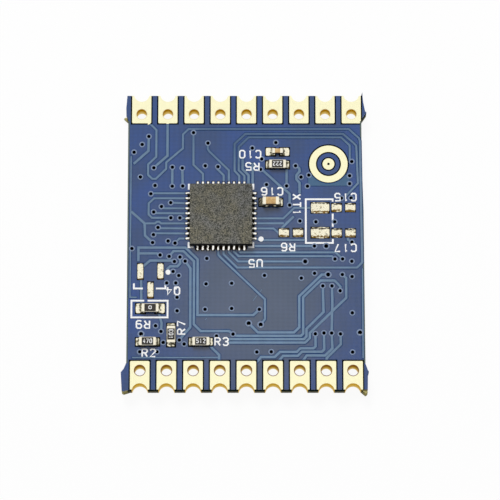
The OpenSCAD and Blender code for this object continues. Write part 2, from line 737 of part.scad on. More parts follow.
// raised mask over the routed copper
module copper_traces() {
    color("steelblue")
        difference() {
            trace_blocks();
            front_openings(board_top - cut, trace_rise + 2 * cut);
            via_discs(board_top - cut, trace_rise + 2 * cut);
            print_blocks(board_top - cut, trace_rise + 2 * cut);
        }
}

// plated holes, each with a flush ring on the back and a raised ring on the front
module plated_vias() {
    color("slategray")
        for (v = vias) {
            a = via_hole(v) / 2;
            b = a + plating_t;
            c = via_ring(v) / 2;
            translate(v[0])
                rotate_extrude($fn = 32)
                    polygon([[a, 0], [c, 0], [c, film_t], [b, film_t], [b, board_top], [c, board_top],
                        [c, copper_top], [a, copper_top]]);
        }
}

module print_blocks(z, h) {
    translate([0, 0, z]) {
        for (p = printed_lines) {
            linear_extrude(h) ribbon([for (q = p) at(q)], line_w);
        }
        for (p = printed_dots) {
            translate(at(p)) cylinder(d = dot_d, h = h, $fn = 48);
        }
        translate(chip_at) {
            m = chip_size / 2 + chip_mark_gap;
            for (sx = [-1, 1], sy = [-1, 1]) {
                linear_extrude(h)
                    ribbon([[sx * m, sy * (m - chip_mark_l)], [sx * m, sy * m],
                        [sx * (m - chip_mark_l), sy * m]], line_w);
            }
            translate([chip_size / 2 + chip_dot_step[0], chip_dot_step[1] - chip_size / 2, 0])
                cylinder(d = dot_d, h = h, $fn = 48);
        }
    }
}

module printed_marks() {
    color("white")
        difference() {
            print_blocks(board_top, print_h);
            via_discs(board_top - cut, print_h + 2 * cut);
        }
}

laminate();
front_solder_mask();
back_solder_mask();
for (i = [0 : columns - 1]) {
    on_terminal("far", i) terminal([for (e = far_exits) if (e[0] == i) e[1]]);
    on_terminal("near", i) terminal([]);
}
antenna_ring();
antenna_feed_land();
chip_body();
chip_contacts();
chip_heat_pad();
chip_solder();
for (i = [0 : capacitors - 1]) {
    capacitor_body(i);
    capacitor_ends(i);
}
for (i = [0 : resistors - 1]) {
    resistor_body(i);
    resistor_coat(i);
    resistor_ends(i);
}
chip_part_solder();
tinned_lands(crystal_lands_at);  // crystal_lands
tinned_lands(transistor_lands_at);  // transistor_lands
tinned_lands(resistor_lands_at);  // resistor_lands
tinned_lands(far_capacitor_lands_at);  // far_capacitor_lands
tinned_lands(near_capacitor_lands_at);  // near_capacitor_lands
copper_traces();
plated_vias();
printed_marks();
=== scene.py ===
"""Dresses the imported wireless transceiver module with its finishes, labels, etched gaps, wear and stage."""
import math
from functools import partial

import bpy
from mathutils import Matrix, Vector


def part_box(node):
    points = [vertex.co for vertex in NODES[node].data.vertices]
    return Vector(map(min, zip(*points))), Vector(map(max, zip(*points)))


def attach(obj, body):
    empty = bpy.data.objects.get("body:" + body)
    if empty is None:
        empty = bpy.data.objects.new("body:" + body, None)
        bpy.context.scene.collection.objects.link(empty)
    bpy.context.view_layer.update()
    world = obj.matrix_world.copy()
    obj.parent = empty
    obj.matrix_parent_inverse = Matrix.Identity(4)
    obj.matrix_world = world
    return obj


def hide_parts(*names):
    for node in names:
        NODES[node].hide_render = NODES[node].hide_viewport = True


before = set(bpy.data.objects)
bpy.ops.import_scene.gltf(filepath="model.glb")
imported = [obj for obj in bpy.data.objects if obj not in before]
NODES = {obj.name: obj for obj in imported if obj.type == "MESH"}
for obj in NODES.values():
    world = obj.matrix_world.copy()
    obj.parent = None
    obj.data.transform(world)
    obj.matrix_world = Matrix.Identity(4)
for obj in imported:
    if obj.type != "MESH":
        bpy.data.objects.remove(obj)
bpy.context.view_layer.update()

bl_info = {
    "name": "Wireless transceiver module",
    "version": (1, 0, 0),
    "blender": (4, 5, 0),
    "location": "View3D > Sidebar > Module",
    "description": "Dresses a packed circuit module with its finishes, printed labels and stage",
    "category": "Object",
}

MM = 0.001


def mm(*sizes):
    """Lengths in millimetres, turned into metres."""
    return tuple(size * MM for size in sizes)


# points of a CAD mesh that are closer than this are one
MERGE = 0.0005 * MM
BOARD_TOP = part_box("front_solder_mask")[1].z
PRINT_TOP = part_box("printed_marks")[1].z

# sockets of a shader node in the order in which they are filled; other nodes are filled in their own order
SOCKETS = {
    "Mix": (0, 6, 7),  # share, and the two colours
    "MapRange": ("Value", "From Min", "From Max", "To Min", "To Max"),
    "TexNoise": ("Vector", "Scale", "Detail", "Roughness"),
    "TexWave": ("Vector", "Scale", "Distortion", "Detail", "Detail Scale"),
    "TexVoronoi": ("Vector", "Scale"),
    "HueSaturation": ("Color", "Value"),
    "Bump": ("Height", "Strength", "Distance"),
}

# strokes of the letters, on a grid four wide and six high
LETTER_GRID = (4, 6)
STROKES = {
    "0": [[(1, 0), (3, 0), (4, 1), (4, 5), (3, 6), (1, 6), (0, 5), (0, 1), (1, 0)]],
    "1": [[(1, 5), (2, 6), (2, 0)]],
    "2": [[(0, 5), (1, 6), (3, 6), (4, 5), (4, 4), (0, 0), (4, 0)]],
    "3": [[(0, 5), (1, 6), (3, 6), (4, 5), (4, 4), (3, 3), (4, 2), (4, 1), (3, 0), (1, 0), (0, 1)], [(1.6, 3), (3, 3)]],
    "4": [[(3, 0), (3, 6), (0, 2), (4, 2)]],
    "5": [[(4, 6), (0, 6), (0, 3.5), (3, 3.5), (4, 2.5), (4, 1), (3, 0), (1, 0), (0, 1)]],
    "6": [[(3.8, 5.4), (3, 6), (1, 6), (0, 5), (0, 1), (1, 0), (3, 0), (4, 1), (4, 2.4), (3, 3.4), (0, 3.4)]],
    "7": [[(0, 6), (4, 6), (1.4, 0)]],
    "9": [[(0.2, 0.6), (1, 0), (3, 0), (4, 1), (4, 5), (3, 6), (1, 6), (0, 5), (0, 3.6), (1, 2.6), (4, 2.6)]],
    "C": [[(4, 5), (3, 6), (1, 6), (0, 5), (0, 1), (1, 0), (3, 0), (4, 1)]],
    "Q": [[(1, 0), (3, 0), (4, 1), (4, 5), (3, 6), (1, 6), (0, 5), (0, 1), (1, 0)], [(2.4, 1.6), (4.2, -0.2)]],
    "R": [[(0, 0), (0, 6), (3, 6), (4, 5), (4, 4), (3, 3), (0, 3)], [(2, 3), (4, 0)]],
    "T": [[(0, 6), (4, 6)], [(2, 6), (2, 0)]],
    "U": [[(0, 6), (0, 1), (1, 0), (3, 0), (4, 1), (4, 6)]],
    "X": [[(0, 0), (4, 6)], [(0, 6), (4, 0)]],
}

# reference labels beside the parts: text, middle in mm, turn in degrees
LABELS = [
    ("C10", (0.36, 8.66), 180), ("R5", (0.58, 7.43), 180), ("C16", (2.47, 4.94), 180), ("XT1", (4.84, 3.62), -90),
    ("C15", (9.55, 4.36), 180), ("C17", (9.52, -0.67), 180), ("R6", (4.0, -0.6), 180), ("U5", (0.88, -2.22), 180),
    ("Q4", (-7.03, -4.93), 180), ("R9", (-9.88, -8.22), 180), ("R7", (-6.21, -8.54), 90), ("R2", (-9.31, -11.0), 0),
    ("R3", (-2.37, -9.9), 0),
]
# value codes on the resistors' coats: resistor, code, turn in degrees
CODES = [(1, "222", 180), (3, "470", 0), (4, "103", 90), (5, "512", 0)]
# width and height of the link's zero, in widths of a digit
LINK_ZERO = (1.3, 1.5)
# strokes whose points are closer than this share of their width are joined
STROKE_MERGE = 0.01

# lands of the parts that aren't fitted: middle and size in mm
BARE_LANDS = {
    "crystal_lands": [((7.09, 3.31), (1.8, 1.1)), ((7.09, 0.84), (1.8, 1.1))],
    "transistor_lands": [((-10.17, -3.0), (0.6, 1.65)), ((-8.24, -2.96), (0.6, 1.65)), ((-9.19, -4.83), (0.6, 1.65))],
    "resistor_lands": [((3.6, 0.84), (1.0, 0.88)), ((4.96, 0.85), (1.0, 0.88))],
    "far_capacitor_lands": [((8.68, 3.33), (1.0, 0.88)), ((10.0, 3.33), (1.0, 0.88))],
    "near_capacitor_lands": [((8.68, 0.8), (1.0, 0.88)), ((10.0, 0.8), (1.0, 0.88))],
}
CAPACITORS = ["capacitor_1", "capacitor_2"]
RESISTORS = ["resistor_1", "resistor_2", "resistor_3", "resistor_4", "resistor_5"]
LINK = "resistor_2"
# middle, reach and inner share of a painted sheen: the mask is painted greyer there, for a soft reflection
PAINTED_SHEEN_AT, PAINTED_SHEEN_R, PAINTED_SHEEN_INNER = mm(0.5, -5.5, 1.6), 12 * MM, 0.3
# the same for the place on the far side where the traces are fainter, drawn out along X
FAINT_AT, FAINT_R, FAINT_INNER, FAINT_SQUEEZE = mm(2.5, 11.6, 0), 11 * MM, 0.5, (1, 2, 0)
# scratches in the mask, in mm, and their height as a share of their width
SCRATCHES = [
    [(0.62, -5.9), (0.83, -5.6), (1.0, -5.38)], [(1.2, -5.1), (1.38, -4.9), (1.47, -4.78)],
    [(-3.95, -7.75), (-3.8, -7.6)],
]
SCRATCH_FLAT = 0.16
# routed sides of the board, in mm
RIMS = [
    [(-11.45, 12.0), (-11.45, -12.0)],
    [(11.13, 12.0), (11.13, 8.35), (11.28, 2.85), (11.34, -12.0)],
]
# the middle of a bare rim lies this share of its width inside the side, and its film is as thick as so many gap lips
RIM_INSET, RIM_FILM = 0.55, 2
# where the panel's stubs were torn off, and reach and inner share of the pale fibre
TORN_AT = [mm(11.4, -14.8, 0), mm(-11.75, 12.6, 0), mm(-11.65, -14.7, 0)]
TORN_R, TORN_INNER = 0.45 * MM, 0.5
# the paler lower half of a sawn edge ends between these shares of the board's height
PALER_LOW, PALER_HIGH = 0.42, 0.55
# the bare strips round the lands lie at most this far below the mask
STRIP_DEPTH = 0.1 * MM
# the pin holes end, and the half holes begin, this far from the middle of the board
PIN_HOLES_END = 13.5 * MM
PITCH = 2.54 * MM  # of the pin holes in a row
PIN_ROW = 12.7 * MM  # from the middle of the board to a row
PIN_R = 0.5 * MM
# painted shade: a brown rim is painted round each pin hole, this wide, and weaker in the far row
PIN_RIM_SHADE = 0.08 * MM  # brown rim round a pin hole
FAR_RIM_SHADE = 0.2  # strength of the rim in the far row
# a plated wall pales, as the bench lights its foot, between these shares of the board's height
FOOT_HIGH, FOOT_LOW = 0.7, 0.12
# copper area at the antenna land: middle and half size
POUR_AT, POUR_HALF = mm(7.95, 6.05, 1.6), (*mm(2.02, 0.57), 1.0)
# how far out the corners of a pool begin, and how much they are drawn in
CORNER_SHARES, CORNER_PULL = (1.5, 1.75), 0.95
# share of its height that a pool keeps at its rim, and strength of the smoothing
RIM_KEEP, SMOOTHING = 0.3, 0.5
# cells of the solder at a contact and at a part's end, and how many of them rise behind and before the end
CONTACT_CELLS, LAND_CELLS, CELLS_BEHIND, CELLS_BEFORE = (8, 6), (16, 14), 1.6, 0.1
# cell of the solder on a bare land and least number of cells, least share of its width that slopes, share of the slope
# that swells, and its unevenness against other solder
POOL_CELL, LEAST_CELLS, SLOPE_SHARE, SWELL_SHARE, BARE_LUMPS = 0.06 * MM, 8, 0.2, 0.95, 3
# faces of a pool, and of a block, that meet at less than this are shaded as one, and those within FLAT are one face
POOL_ANGLE, BLOCK_ANGLE, FLAT = math.radians(60), math.radians(40), math.radians(1)
# steps in the rounding of a metal end and of other edges
END_SEGMENTS, EDGE_SEGMENTS = 4, 3
# the flux and painted shade begin, and are full, at so much more than a metal's own levelness, and the lumps count
# so much in it
FLUX_SHADE_FROM, FLUX_SHADE_FULL, FLUX_SHADE_RAGGED = 0.5, 0.35, 0.9
# sides of the chip and contacts on each side
CHIP_SIDES, CONTACTS = 4, 10
# paper on the bench, dark card on the near side, and the two lamps, in metres
FLOOR_SIZE, FLOOR_DROP = 3, 0.02 * MM
FLAG_SIZE, FLAG_AT = (0.8, 0.27, 1), (0, -0.13, 0.14)
KEY_SIZE, KEY_AT = 0.24, (-0.12, 0.4, 0.5)
SHEEN_SIZE, SHEEN_AWAY = 0.04, 0.6
# camera's frame in mm and the nearest and farthest that it sees
FRAME_W, CLIP = 36, (0.01, 10)


def linear(code):
    """The linear colour of an sRGB hex value."""
    parts = [int(code[k:k + 2], 16) / 255 for k in (0, 2, 4)]
    return tuple(c / 12.92 if c <= 0.04045 else ((c + 0.055) / 1.055) ** 2.4 for c in parts)


def colour(name, description, code):
    return bpy.props.FloatVectorProperty(
        name=name, description=description, subtype="COLOR", size=3, min=0, max=1, default=linear(code))


def point(name, description, *place_mm):
    return bpy.props.FloatVectorProperty(
        name=name, description=description, subtype="XYZ", size=3, unit="LENGTH", default=mm(*place_mm))


def number(name, description, default, **limits):
    return bpy.props.FloatProperty(name=name, description=description, default=default, **limits)


def length(name, description, size_mm):
    return number(name, description, size_mm * MM, min=0, precision=5, subtype="DISTANCE", unit="LENGTH")


class ModuleColours(bpy.types.PropertyGroup):
    mask: colour("Solder mask", "Blue of the mask over copper", "264886")
    mask_cloud: colour("Mask cloud", "Greyer blue of the mask where it lies thicker", "2B4572")
    # painted sheen: the mask is painted this greyer blue in the middle of the board, where a soft reflection lies
    mask_painted_sheen: colour("Dull mask", "Mask dulled by handling in the middle of the board", "3A4C66")
    gap: colour("Etched gap", "Blue of the mask where the copper is etched away", "1B3A68")
    trace: colour("Trace", "Blue of the thin mask over a trace", "617C98")
    # the traces are drawn in this fainter blue towards the far side
    faint_trace: colour("Faint trace", "Blue of the thicker mask over the traces on the far side", "425F80")
    pour: colour("Copper area", "Blue of the mask over the copper area at the antenna", "365D80")
    via_ring: colour("Via ring", "Blue of the thin mask over a via's ring", "8494B0")
    # painted shade: the wall of a via is painted near black, as the light doesn't reach into the hole
    via_wall_shade: colour("Via wall", "Dark wall of a via hole", "030B24")
    gold: colour("Gold face", "Pale gold of the lands", "F9F5CE")
    # painted shade: the walls are painted deeper gold, and the pin holes browner, most in the near row, for their shade
    gold_wall_shade: colour("Gold wall", "Deeper gold of the plated walls", "CBA862")
    gold_hole_shade: colour("Gold hole", "Brown gold of the walls of the pin holes", "A0702B")
    gold_near_hole_shade: colour("Gold near hole", "Upper walls of the pin holes in the near row", "6A2E0C")
    gold_foot: colour("Gold foot", "Paler gold at the foot of the plated walls, lit from below", "EAD9AA")
    gold_rim: colour("Gold glint", "What a plated wall mirrors at a flat angle", "E4C878")
    tin: colour("Tin", "Matt tin of ends and contacts", "F6F0DC")
    solder: colour("Solder", "Bright solder", "F2ECD3")
    white_solder: colour("White solder", "Cleaner solder at the chip's contacts", "FFFDF6")
    # partly flux, partly painted shade: solder and tin are painted olive brown on their slopes, for the dark
    # surroundings that they mirror
    flux_and_shade: colour("Flux", "Olive brown of flux on the slopes of the solder", "3E350D")
    # painted reflection and shade: amber on the near slopes of the bare lands; dark on their far slopes, on the slopes
    # of the chip's contacts, on the sides of the parts and in the film by the chip's near side
    amber_painted_reflection: colour("Amber flux", "Amber flux on the near slopes of the bare lands", "8C6A22")
    dark_painted_shade: colour("Dark flux", "Burnt flux on the sides of the parts", "2A2012")
    ceramic: colour("Capacitor", "Tan body of the capacitors", "D8BB86")
    ceramic_speck: colour("Capacitor speck", "Browner grains of the capacitors", "BC9156")
    coat: colour("Resistor coat", "Dark glass over a resistor", "2A231A")
    coat_speck: colour("Coat speck", "Darker glass over a resistor", "15110B")
    alumina: colour("Alumina", "White body of the resistors", "E4DFD0")
    mould: colour("Chip mould", "Grey of the chip's body", "757573")
    mould_warm: colour("Warm mould", "Browner grey of the chip's body", "787464")
    mould_grain: colour("Mould grain", "Dark filler grains of the chip's body", "3E3F3B")
    mould_speck: colour("Mould speck", "Pale filler grains of the chip's body", "86857D")
    # painted shade: the chip's sides are painted near black for the shade they lie in
    mould_wall_shade: colour("Mould wall", "Dark sawn sides of the chip's body", "12110E")
    ink: colour("Ink", "White printing ink", "FCFDFE")
    # partly painted shade: the bare strip round a land is dark resin, deepened to near black for the shade in the
    # narrow strip
    bare: colour("Bare laminate", "Dark resin in the bare strip round a land", "0E110A")
    laminate: colour("Laminate", "Dark green of the sawn glass-epoxy", "1C2A2C")
    # the lower half of the sawn edge is drawn paler, with the pale lines of the cloth
    laminate_foot: colour("Laminate foot", "Paler, frayed lower half of the sawn edge", "7A7A68")
    rim: colour("Rim", "Resin at the routed sides, where the mask stops short of the edge", "5B6862")
    fibre: colour("Glass fibre", "Pale torn glass fibre", "B5AC72")


class ModulePrint(bpy.types.PropertyGroup):
    letter_w: length("Letter width", "Width of a label's letter between the middles of its strokes", 0.48)
    letter_h: length("Letter height", "Height of a label's letter between the middles of its strokes", 0.73)
    letter_step: length("Letter step", "Distance from letter to letter in a label", 0.77)
    stroke_w: length("Stroke", "Width of a label's strokes", 0.158)
    code_w: length("Code width", "Width of a digit on a resistor", 0.19)
    code_h: length("Code height", "Height of a digit on a resistor", 0.38)
    code_step: length("Code step", "Distance from digit to digit on a resistor", 0.32)
    code_stroke: length("Code stroke", "Width of a digit's strokes on a resistor", 0.075)
    code_t: length("Code thickness", "Thickness of the ink on a resistor", 0.012)


class ModuleSolder(bpy.types.PropertyGroup):
    land_l: length("Land length", "Length of a chip part's land", 1.0)
    land_w: length("Land width", "Width of a chip part's land", 0.88)
    land_span: length("Land span", "Span over the two lands of a chip part", 2.36)
    link_land_w: length("Link land width", "Width of the link resistor's lands", 1.05)
    link_span: length("Link span", "Span over the link resistor's lands", 2.86)
    depth: length("Depth", "Depth of the lands in the mask", 0.035)
    film: length("Film", "Solder left on a land away from the part", 0.05)
    rise: length("Rise", "Height of the solder on a part's end", 0.34)
    reach: length("Reach", "How far the solder slopes from a part's end", 0.42)
    crown: length("Crown", "Height of the solder on a bare land", 0.1)
    spill: length("Spill", "Reach of the solder past the rim of a bare land", 0.035)
    margin: length("Margin", "Least width of the sloping rim of the solder on a bare land", 0.17)
    lump: length("Lumps", "Unevenness of the solder", 0.012)
    pitch: length("Contact pitch", "Distance between the chip's contacts", 0.5)
    contact_w: length("Contact width", "Width of the solder at a contact", 0.27)
    contact_rise: length("Contact rise", "Height of the solder at a contact", 0.27)
    contact_reach: length("Contact reach", "Reach of the solder past the chip's side", 0.47)
    contact_in: length("Contact root", "Reach of the solder under the chip", 0.14)


class ModuleEnds(bpy.types.PropertyGroup):
    small_end: length("Small end", "Length of the smaller capacitor's metal ends", 0.26)
    large_end: length("Large end", "Length of the larger capacitor's metal ends", 0.35)
    resistor_end: length("Resistor end", "Length of a resistor's metal ends", 0.27)
    inset: length("Inset", "How far a resistor's end stays inside the sides of its body", 0.01)
    small_round: length("Small rounding", "Rounding of the smaller capacitor and the resistors", 0.05)
    large_round: length("Large rounding", "Rounding of the larger capacitor", 0.09)
    coat_round: length("Coat rounding", "Rounding of a resistor's coat", 0.03)
    chip_round: length("Chip rounding", "Rounding of the chip's top edge", 0.06)


class ModuleWear(bpy.types.PropertyGroup):
    gap_w: length("Gap", "Width of the etched gap beside a trace", 0.08)
    gap_t: length("Gap lip", "How far the darker strip of mask stands on the mask", 0.004)
    scratch_w: length("Scratch", "Width of a scratch in the mask", 0.05)
    rim_w: length("Rim", "Width of the bare rim along the routed sides", 0.13)
    # painted shadow: a dark film on the mask along the chip's near side, where the chip's shadow falls
    shadow_reach: length("Flux reach", "Reach of the burnt flux past the chip's near side", 0.36)
    shadow_film_t: length("Flux film", "Thickness of the burnt flux", 0.004)


class ModuleStage(bpy.types.PropertyGroup):
    tilt: number("Tilt", "Camera's lean from straight above", math.radians(14.11), subtype="ANGLE")
    distance: length("Distance", "From the camera to the point it aims at", 333.8)
    aim: point("Aim", "Point the camera looks at", 0.34, -0.881, 1.6)
    lens: number("Lens", "Focal length on a 36 mm frame", 250.3, min=1, unit="CAMERA")
    dome: number("Dome", "Strength of the white dome on matt surfaces", 0.66, min=0)
    key: number("Key lamp", "Power of the soft lamp on the far side", 2.6, min=0, unit="POWER")
    sheen: number("Sheen lamp", "Power of the small lamp that the mask mirrors", 0.0095, min=0, unit="POWER")
    sheen_colour: colour("Sheen colour", "Colour of the small lamp", "FFF4D0")
    sheen_at: point("Sheen", "Middle of the soft sheen on the mask", 1.2, -6.0, 1.6)
    paper: number("Paper", "Share of plain white in the floor to the eye", 0.93, min=0, max=1)


def fill(made, values):
    """Sets sockets of a node. A value that is an output, or a node with an output in use, is linked instead."""
    for name, value in values.items():
        socket = made.inputs[name]
        if isinstance(value, bpy.types.Node):
            value = next(output for output in value.outputs if output.enabled)
        if isinstance(value, bpy.types.NodeSocket):
            made.id_data.links.new(value, socket)
        else:
            socket.default_value = (*value, 1.0) if socket.type == "RGBA" else value


def add_node(tree, kind, *values, **settings):
    """Adds a shader node, which mixes colours if it is a mix, sets its properties and fills its sockets in order."""
    made = tree.nodes.new("ShaderNode" + kind)
    if kind == "Mix":
        made.data_type = "RGBA"
    for name, value in settings.items():
        setattr(made, name, value)
    fill(made, dict(zip(SOCKETS.get(kind, range(len(values))), values)))
    return made


def new_material(name):
    """A new material, a function that adds a node to it, and its shader."""
    made = bpy.data.materials.new(name)
    made.use_nodes = True
    return made, partial(add_node, made.node_tree), made.node_tree.nodes["Principled BSDF"]


def material(name, draw, *values, **named):
    """The material of this name, drawn in the object's own coordinates on the first call."""
    if name in bpy.data.materials:
        return bpy.data.materials[name]
    made, node, shader = new_material(name)
    draw(node, shader, node("TexCoord").outputs["Object"], *values, **named)
    return made


def per_mm(size):
    """Scale of a texture whose features are this many millimetres across."""
    return 1 / (size * MM)


def bands_mm(spacing):
    """Scale of a wave texture whose bands lie this many millimetres apart."""
    return 2 * math.pi / 20 / (spacing * MM)


def facing(node, axis):
    """How far a surface faces along an axis."""
    return node("SeparateXYZ", node("NewGeometry").outputs["Normal"]).outputs[axis]


def levelness(node):
    """How level a surface lies: 0 on a wall and 1 on a flat face."""
    return node("Math", facing(node, "Z"), operation="ABSOLUTE")


def near_spot(node, place, middle, reach, inner, most=1.0, squeeze=(1, 1, 1)):
    """How near a place is: the most from an inner share of the reach inwards, and 0 outside the reach."""
    scaled = node("VectorMath", place, squeeze, operation="MULTIPLY")
    centre = [m * s for m, s in zip(middle, squeeze)]
    away = node("VectorMath", scaled, centre, operation="DISTANCE")
    return node("MapRange", away, reach, reach * inner, 0, most, interpolation_type="SMOOTHSTEP")


def seen_directly(node):
    """1 for a ray from the eye, also when mirrored or passed on, and 0 for light on its way to a matt surface."""
    rays = node("LightPath").outputs
    seen = node("Math", rays["Is Camera Ray"], rays["Is Glossy Ray"], operation="MAXIMUM")
    return node("Math", seen, rays["Is Transmission Ray"], operation="MAXIMUM")


def solder_mask(node, shader, place, look):
    # epoxy mask, curtain coated over etched copper and cured: cloudy deep blue with a wet gloss, and the glass cloth
    # below it shows as a faint weave
    cloud = node("TexNoise", place, per_mm(4.0), 4.0)
    shade = node("Mix", node("MapRange", cloud, 0.35, 0.65), look.mask, look.mask_cloud)
    # painted sheen: the mask is painted greyer in the middle of the board
    painted_sheen = node("Mix", near_spot(node, place, PAINTED_SHEEN_AT, PAINTED_SHEEN_R, PAINTED_SHEEN_INNER, 0.8), shade, look.mask_painted_sheen)
    warp, weft = (node("TexWave", place, bands_mm(spacing), 1.5, 2.0, 2.0, bands_direction=axis).outputs["Fac"]
                  for axis, spacing in (("X", 0.5), ("Y", 0.4)))
    weave = node("Math", warp, weft, operation="ADD")
    tint = node("HueSaturation", painted_sheen, node("MapRange", weave, 0, 2, 0.94, 1.06))
    bump = node("Bump", node("TexNoise", place, per_mm(0.4), 2.0), 0.25, 0.004 * MM)
    gloss = node("MapRange", cloud, 0, 1, 0.1, 0.16)
    fill(shader, {"IOR": 1.5, "Base Color": tint, "Normal": bump, "Roughness": gloss})


def masked_metal(node, shader, place, base, roughness, gloss, area=None, faint=None):
    # mask that has thinned over raised copper, or lies in an etched trough: an even film, a little cloudy. Over the
    # traces it is darker on a wide area of copper, faint on the far side and painted lighter in a sheen mid-board
    bright = node("MapRange", node("TexNoise", place, per_mm(0.7), 3.0), 0, 1, 0.82, 1.18)
    if area:
        far = near_spot(node, place, FAINT_AT, FAINT_R, FAINT_INNER, 1.0, FAINT_SQUEEZE)
        step = node("VectorMath", place, POUR_AT, operation="SUBTRACT")
        share = node("VectorMath", step, POUR_HALF, operation="DIVIDE")
        side = node("SeparateXYZ", node("VectorMath", share, operation="ABSOLUTE")).outputs
        most = node("Math", side["X"], side["Y"], operation="MAXIMUM")
        inside = node("Math", most, 1.0, operation="LESS_THAN")
        base = node("Mix", inside, node("Mix", far, base, faint), area)
        # painted sheen: the traces are painted lighter in the middle of the board
        sheen_gain = node("Math", near_spot(node, place, PAINTED_SHEEN_AT, PAINTED_SHEEN_R, PAINTED_SHEEN_INNER, 0.16), 1.0, operation="ADD")
        bright = node("Math", bright, sheen_gain, operation="MULTIPLY")
    tint = node("HueSaturation", base, bright)
    fill(shader, {"Roughness": roughness, "IOR": 1.5, "Specular IOR Level": gloss, "Base Color": tint})


def via_plating(node, shader, place, look):
    # copper eyelet under dull mask: a pale ring on the face, and a wall painted near black as shade, since the light
    # doesn't reach it
    level = node("MapRange", levelness(node), 0.5, 0.9)
    bright = node("MapRange", node("TexNoise", place, per_mm(0.3), 3.0), 0, 1, 0.75, 1.2)
    shade = node("Mix", level, look.via_wall_shade, node("HueSaturation", look.via_ring, bright))
    fill(shader, {"Roughness": 0.6, "Specular IOR Level": 0.0, "Base Color": shade})


def gold_plating(node, shader, place, look):
    # immersion gold over nickel: pale satin faces, and walls painted deeper gold, a painted shade for the gold light
    # that they throw on gold and the shade in them: deep at the top, browner in the pin holes of the near row, and pale
    # at the foot, which the bench lights. A fine brown rim of painted shade rings a pin hole, faint in the far row
    at = node("SeparateXYZ", place).outputs
    out = node("Math", at["Y"], operation="ABSOLUTE")
    pin = node("Math", out, PIN_HOLES_END, operation="LESS_THAN")
    near = node("Math", at["Y"], 0.0, operation="LESS_THAN")
    # painted shade: the pin holes of the near row are painted browner
    hole = node("Mix", near, look.gold_hole_shade, look.gold_near_hole_shade)
    foot = node("MapRange", at["Z"], BOARD_TOP * FOOT_HIGH, BOARD_TOP * FOOT_LOW)
    wall = node("Mix", foot, node("Mix", pin, look.gold_wall_shade, hole), look.gold_foot)
    flat = levelness(node)
    face = node("Mix", flat, wall, look.gold)
    across = node("Math", at["X"], PITCH / 2, -PITCH / 2, operation="WRAP")
    along = node("Math", out, PIN_ROW, operation="SUBTRACT")
    away = node("VectorMath", node("CombineXYZ", across, along), operation="LENGTH")
    rim = node("MapRange", away, PIN_R + PIN_RIM_SHADE, PIN_R + PIN_RIM_SHADE / 2)
    # painted shade: the brown rim round a pin hole, strongest in the near row
    thin = node("Math", rim, flat, operation="MULTIPLY")
    rim_shade_strength = node("Math", near, 1 - FAR_RIM_SHADE, FAR_RIM_SHADE, operation="MULTIPLY_ADD")
    shade = node("Mix", node("Math", thin, rim_shade_strength, operation="MULTIPLY"), face, hole)
    grain = node("TexNoise", place, per_mm(0.5), 5.0)
    tint = node("HueSaturation", shade, node("MapRange", grain, 0, 1, 0.92, 1.04))
    satin = node("MapRange", grain, 0, 1, 0.22, 0.4)
    fill(shader, {"Metallic": 1.0, "Specular Tint": look.gold_rim, "Base Color": tint, "Roughness": satin})


def white_metal(node, shader, place, metal, stain_and_shade, steep, roughness, lump, depth, residue=None):
    # tin or solder, frozen from the melt: creamy white and softly lumpy. Where it slopes, dull brown lies over the
    # metal, partly flux and partly painted shade for the dark surroundings that the slopes mirror. If a pair of colours
    # is given, patches of painted reflection and shade lie on the slopes, the first on the near ones, the second on the
    # far
    lumps = node("TexNoise", place, per_mm(lump), 3.0)
    ragged = node("Math", lumps, FLUX_SHADE_RAGGED, levelness(node), operation="MULTIPLY_ADD")
    cover = node("MapRange", ragged, steep + FLUX_SHADE_FROM, steep + FLUX_SHADE_FULL, 0, 0.92)
    shade = node("Mix", cover, metal, stain_and_shade)
    # painted reflection and shade, in patches: one colour on the near slopes and another on the far slopes
    if residue:
        side = facing(node, "Y")
        lean = node("Math", side, operation="ABSOLUTE")
        patches = node("TexNoise", place, per_mm(0.25), 2.0)
        broken = node("Math", patches, 1.5, lean, operation="MULTIPLY_ADD")
        painted_shading = node("MapRange", broken, 0.95, 1.2, 0, 0.95)
        shade = node("Mix", painted_shading, shade, node("Mix", node("Math", side, 0.0, operation="GREATER_THAN"), *residue))
        cover = node("Math", cover, painted_shading, operation="MAXIMUM")
    metallic = node("Math", 1.0, cover, operation="SUBTRACT")
    bump = node("Bump", lumps, 0.5, depth * MM)
    fill(shader, {"Roughness": roughness, "Specular Tint": stain_and_shade, "Metallic": metallic, "Base Color": shade,
                  "Normal": bump})


def speckled(node, shader, place, base, speck, side, size, roughness, depth):
    # a fired body: matt, with grains that show as darker specks, a fine tooth, and sides darkened with painted shade
    grains = node("TexNoise", place, per_mm(size), 3.0, 0.7)
    shade = node("Mix", node("MapRange", grains, 0.35, 0.65), speck, base)
    # painted shade: the sides are painted dark
    shaded_sides = node("Mix", node("MapRange", levelness(node), 0.7, 0.2, 0, 0.8), shade, side)
    bump = node("Bump", grains, 0.6, depth * MM)
    fill(shader, {"Roughness": roughness, "IOR": 1.5, "Base Color": shaded_sides, "Normal": bump})


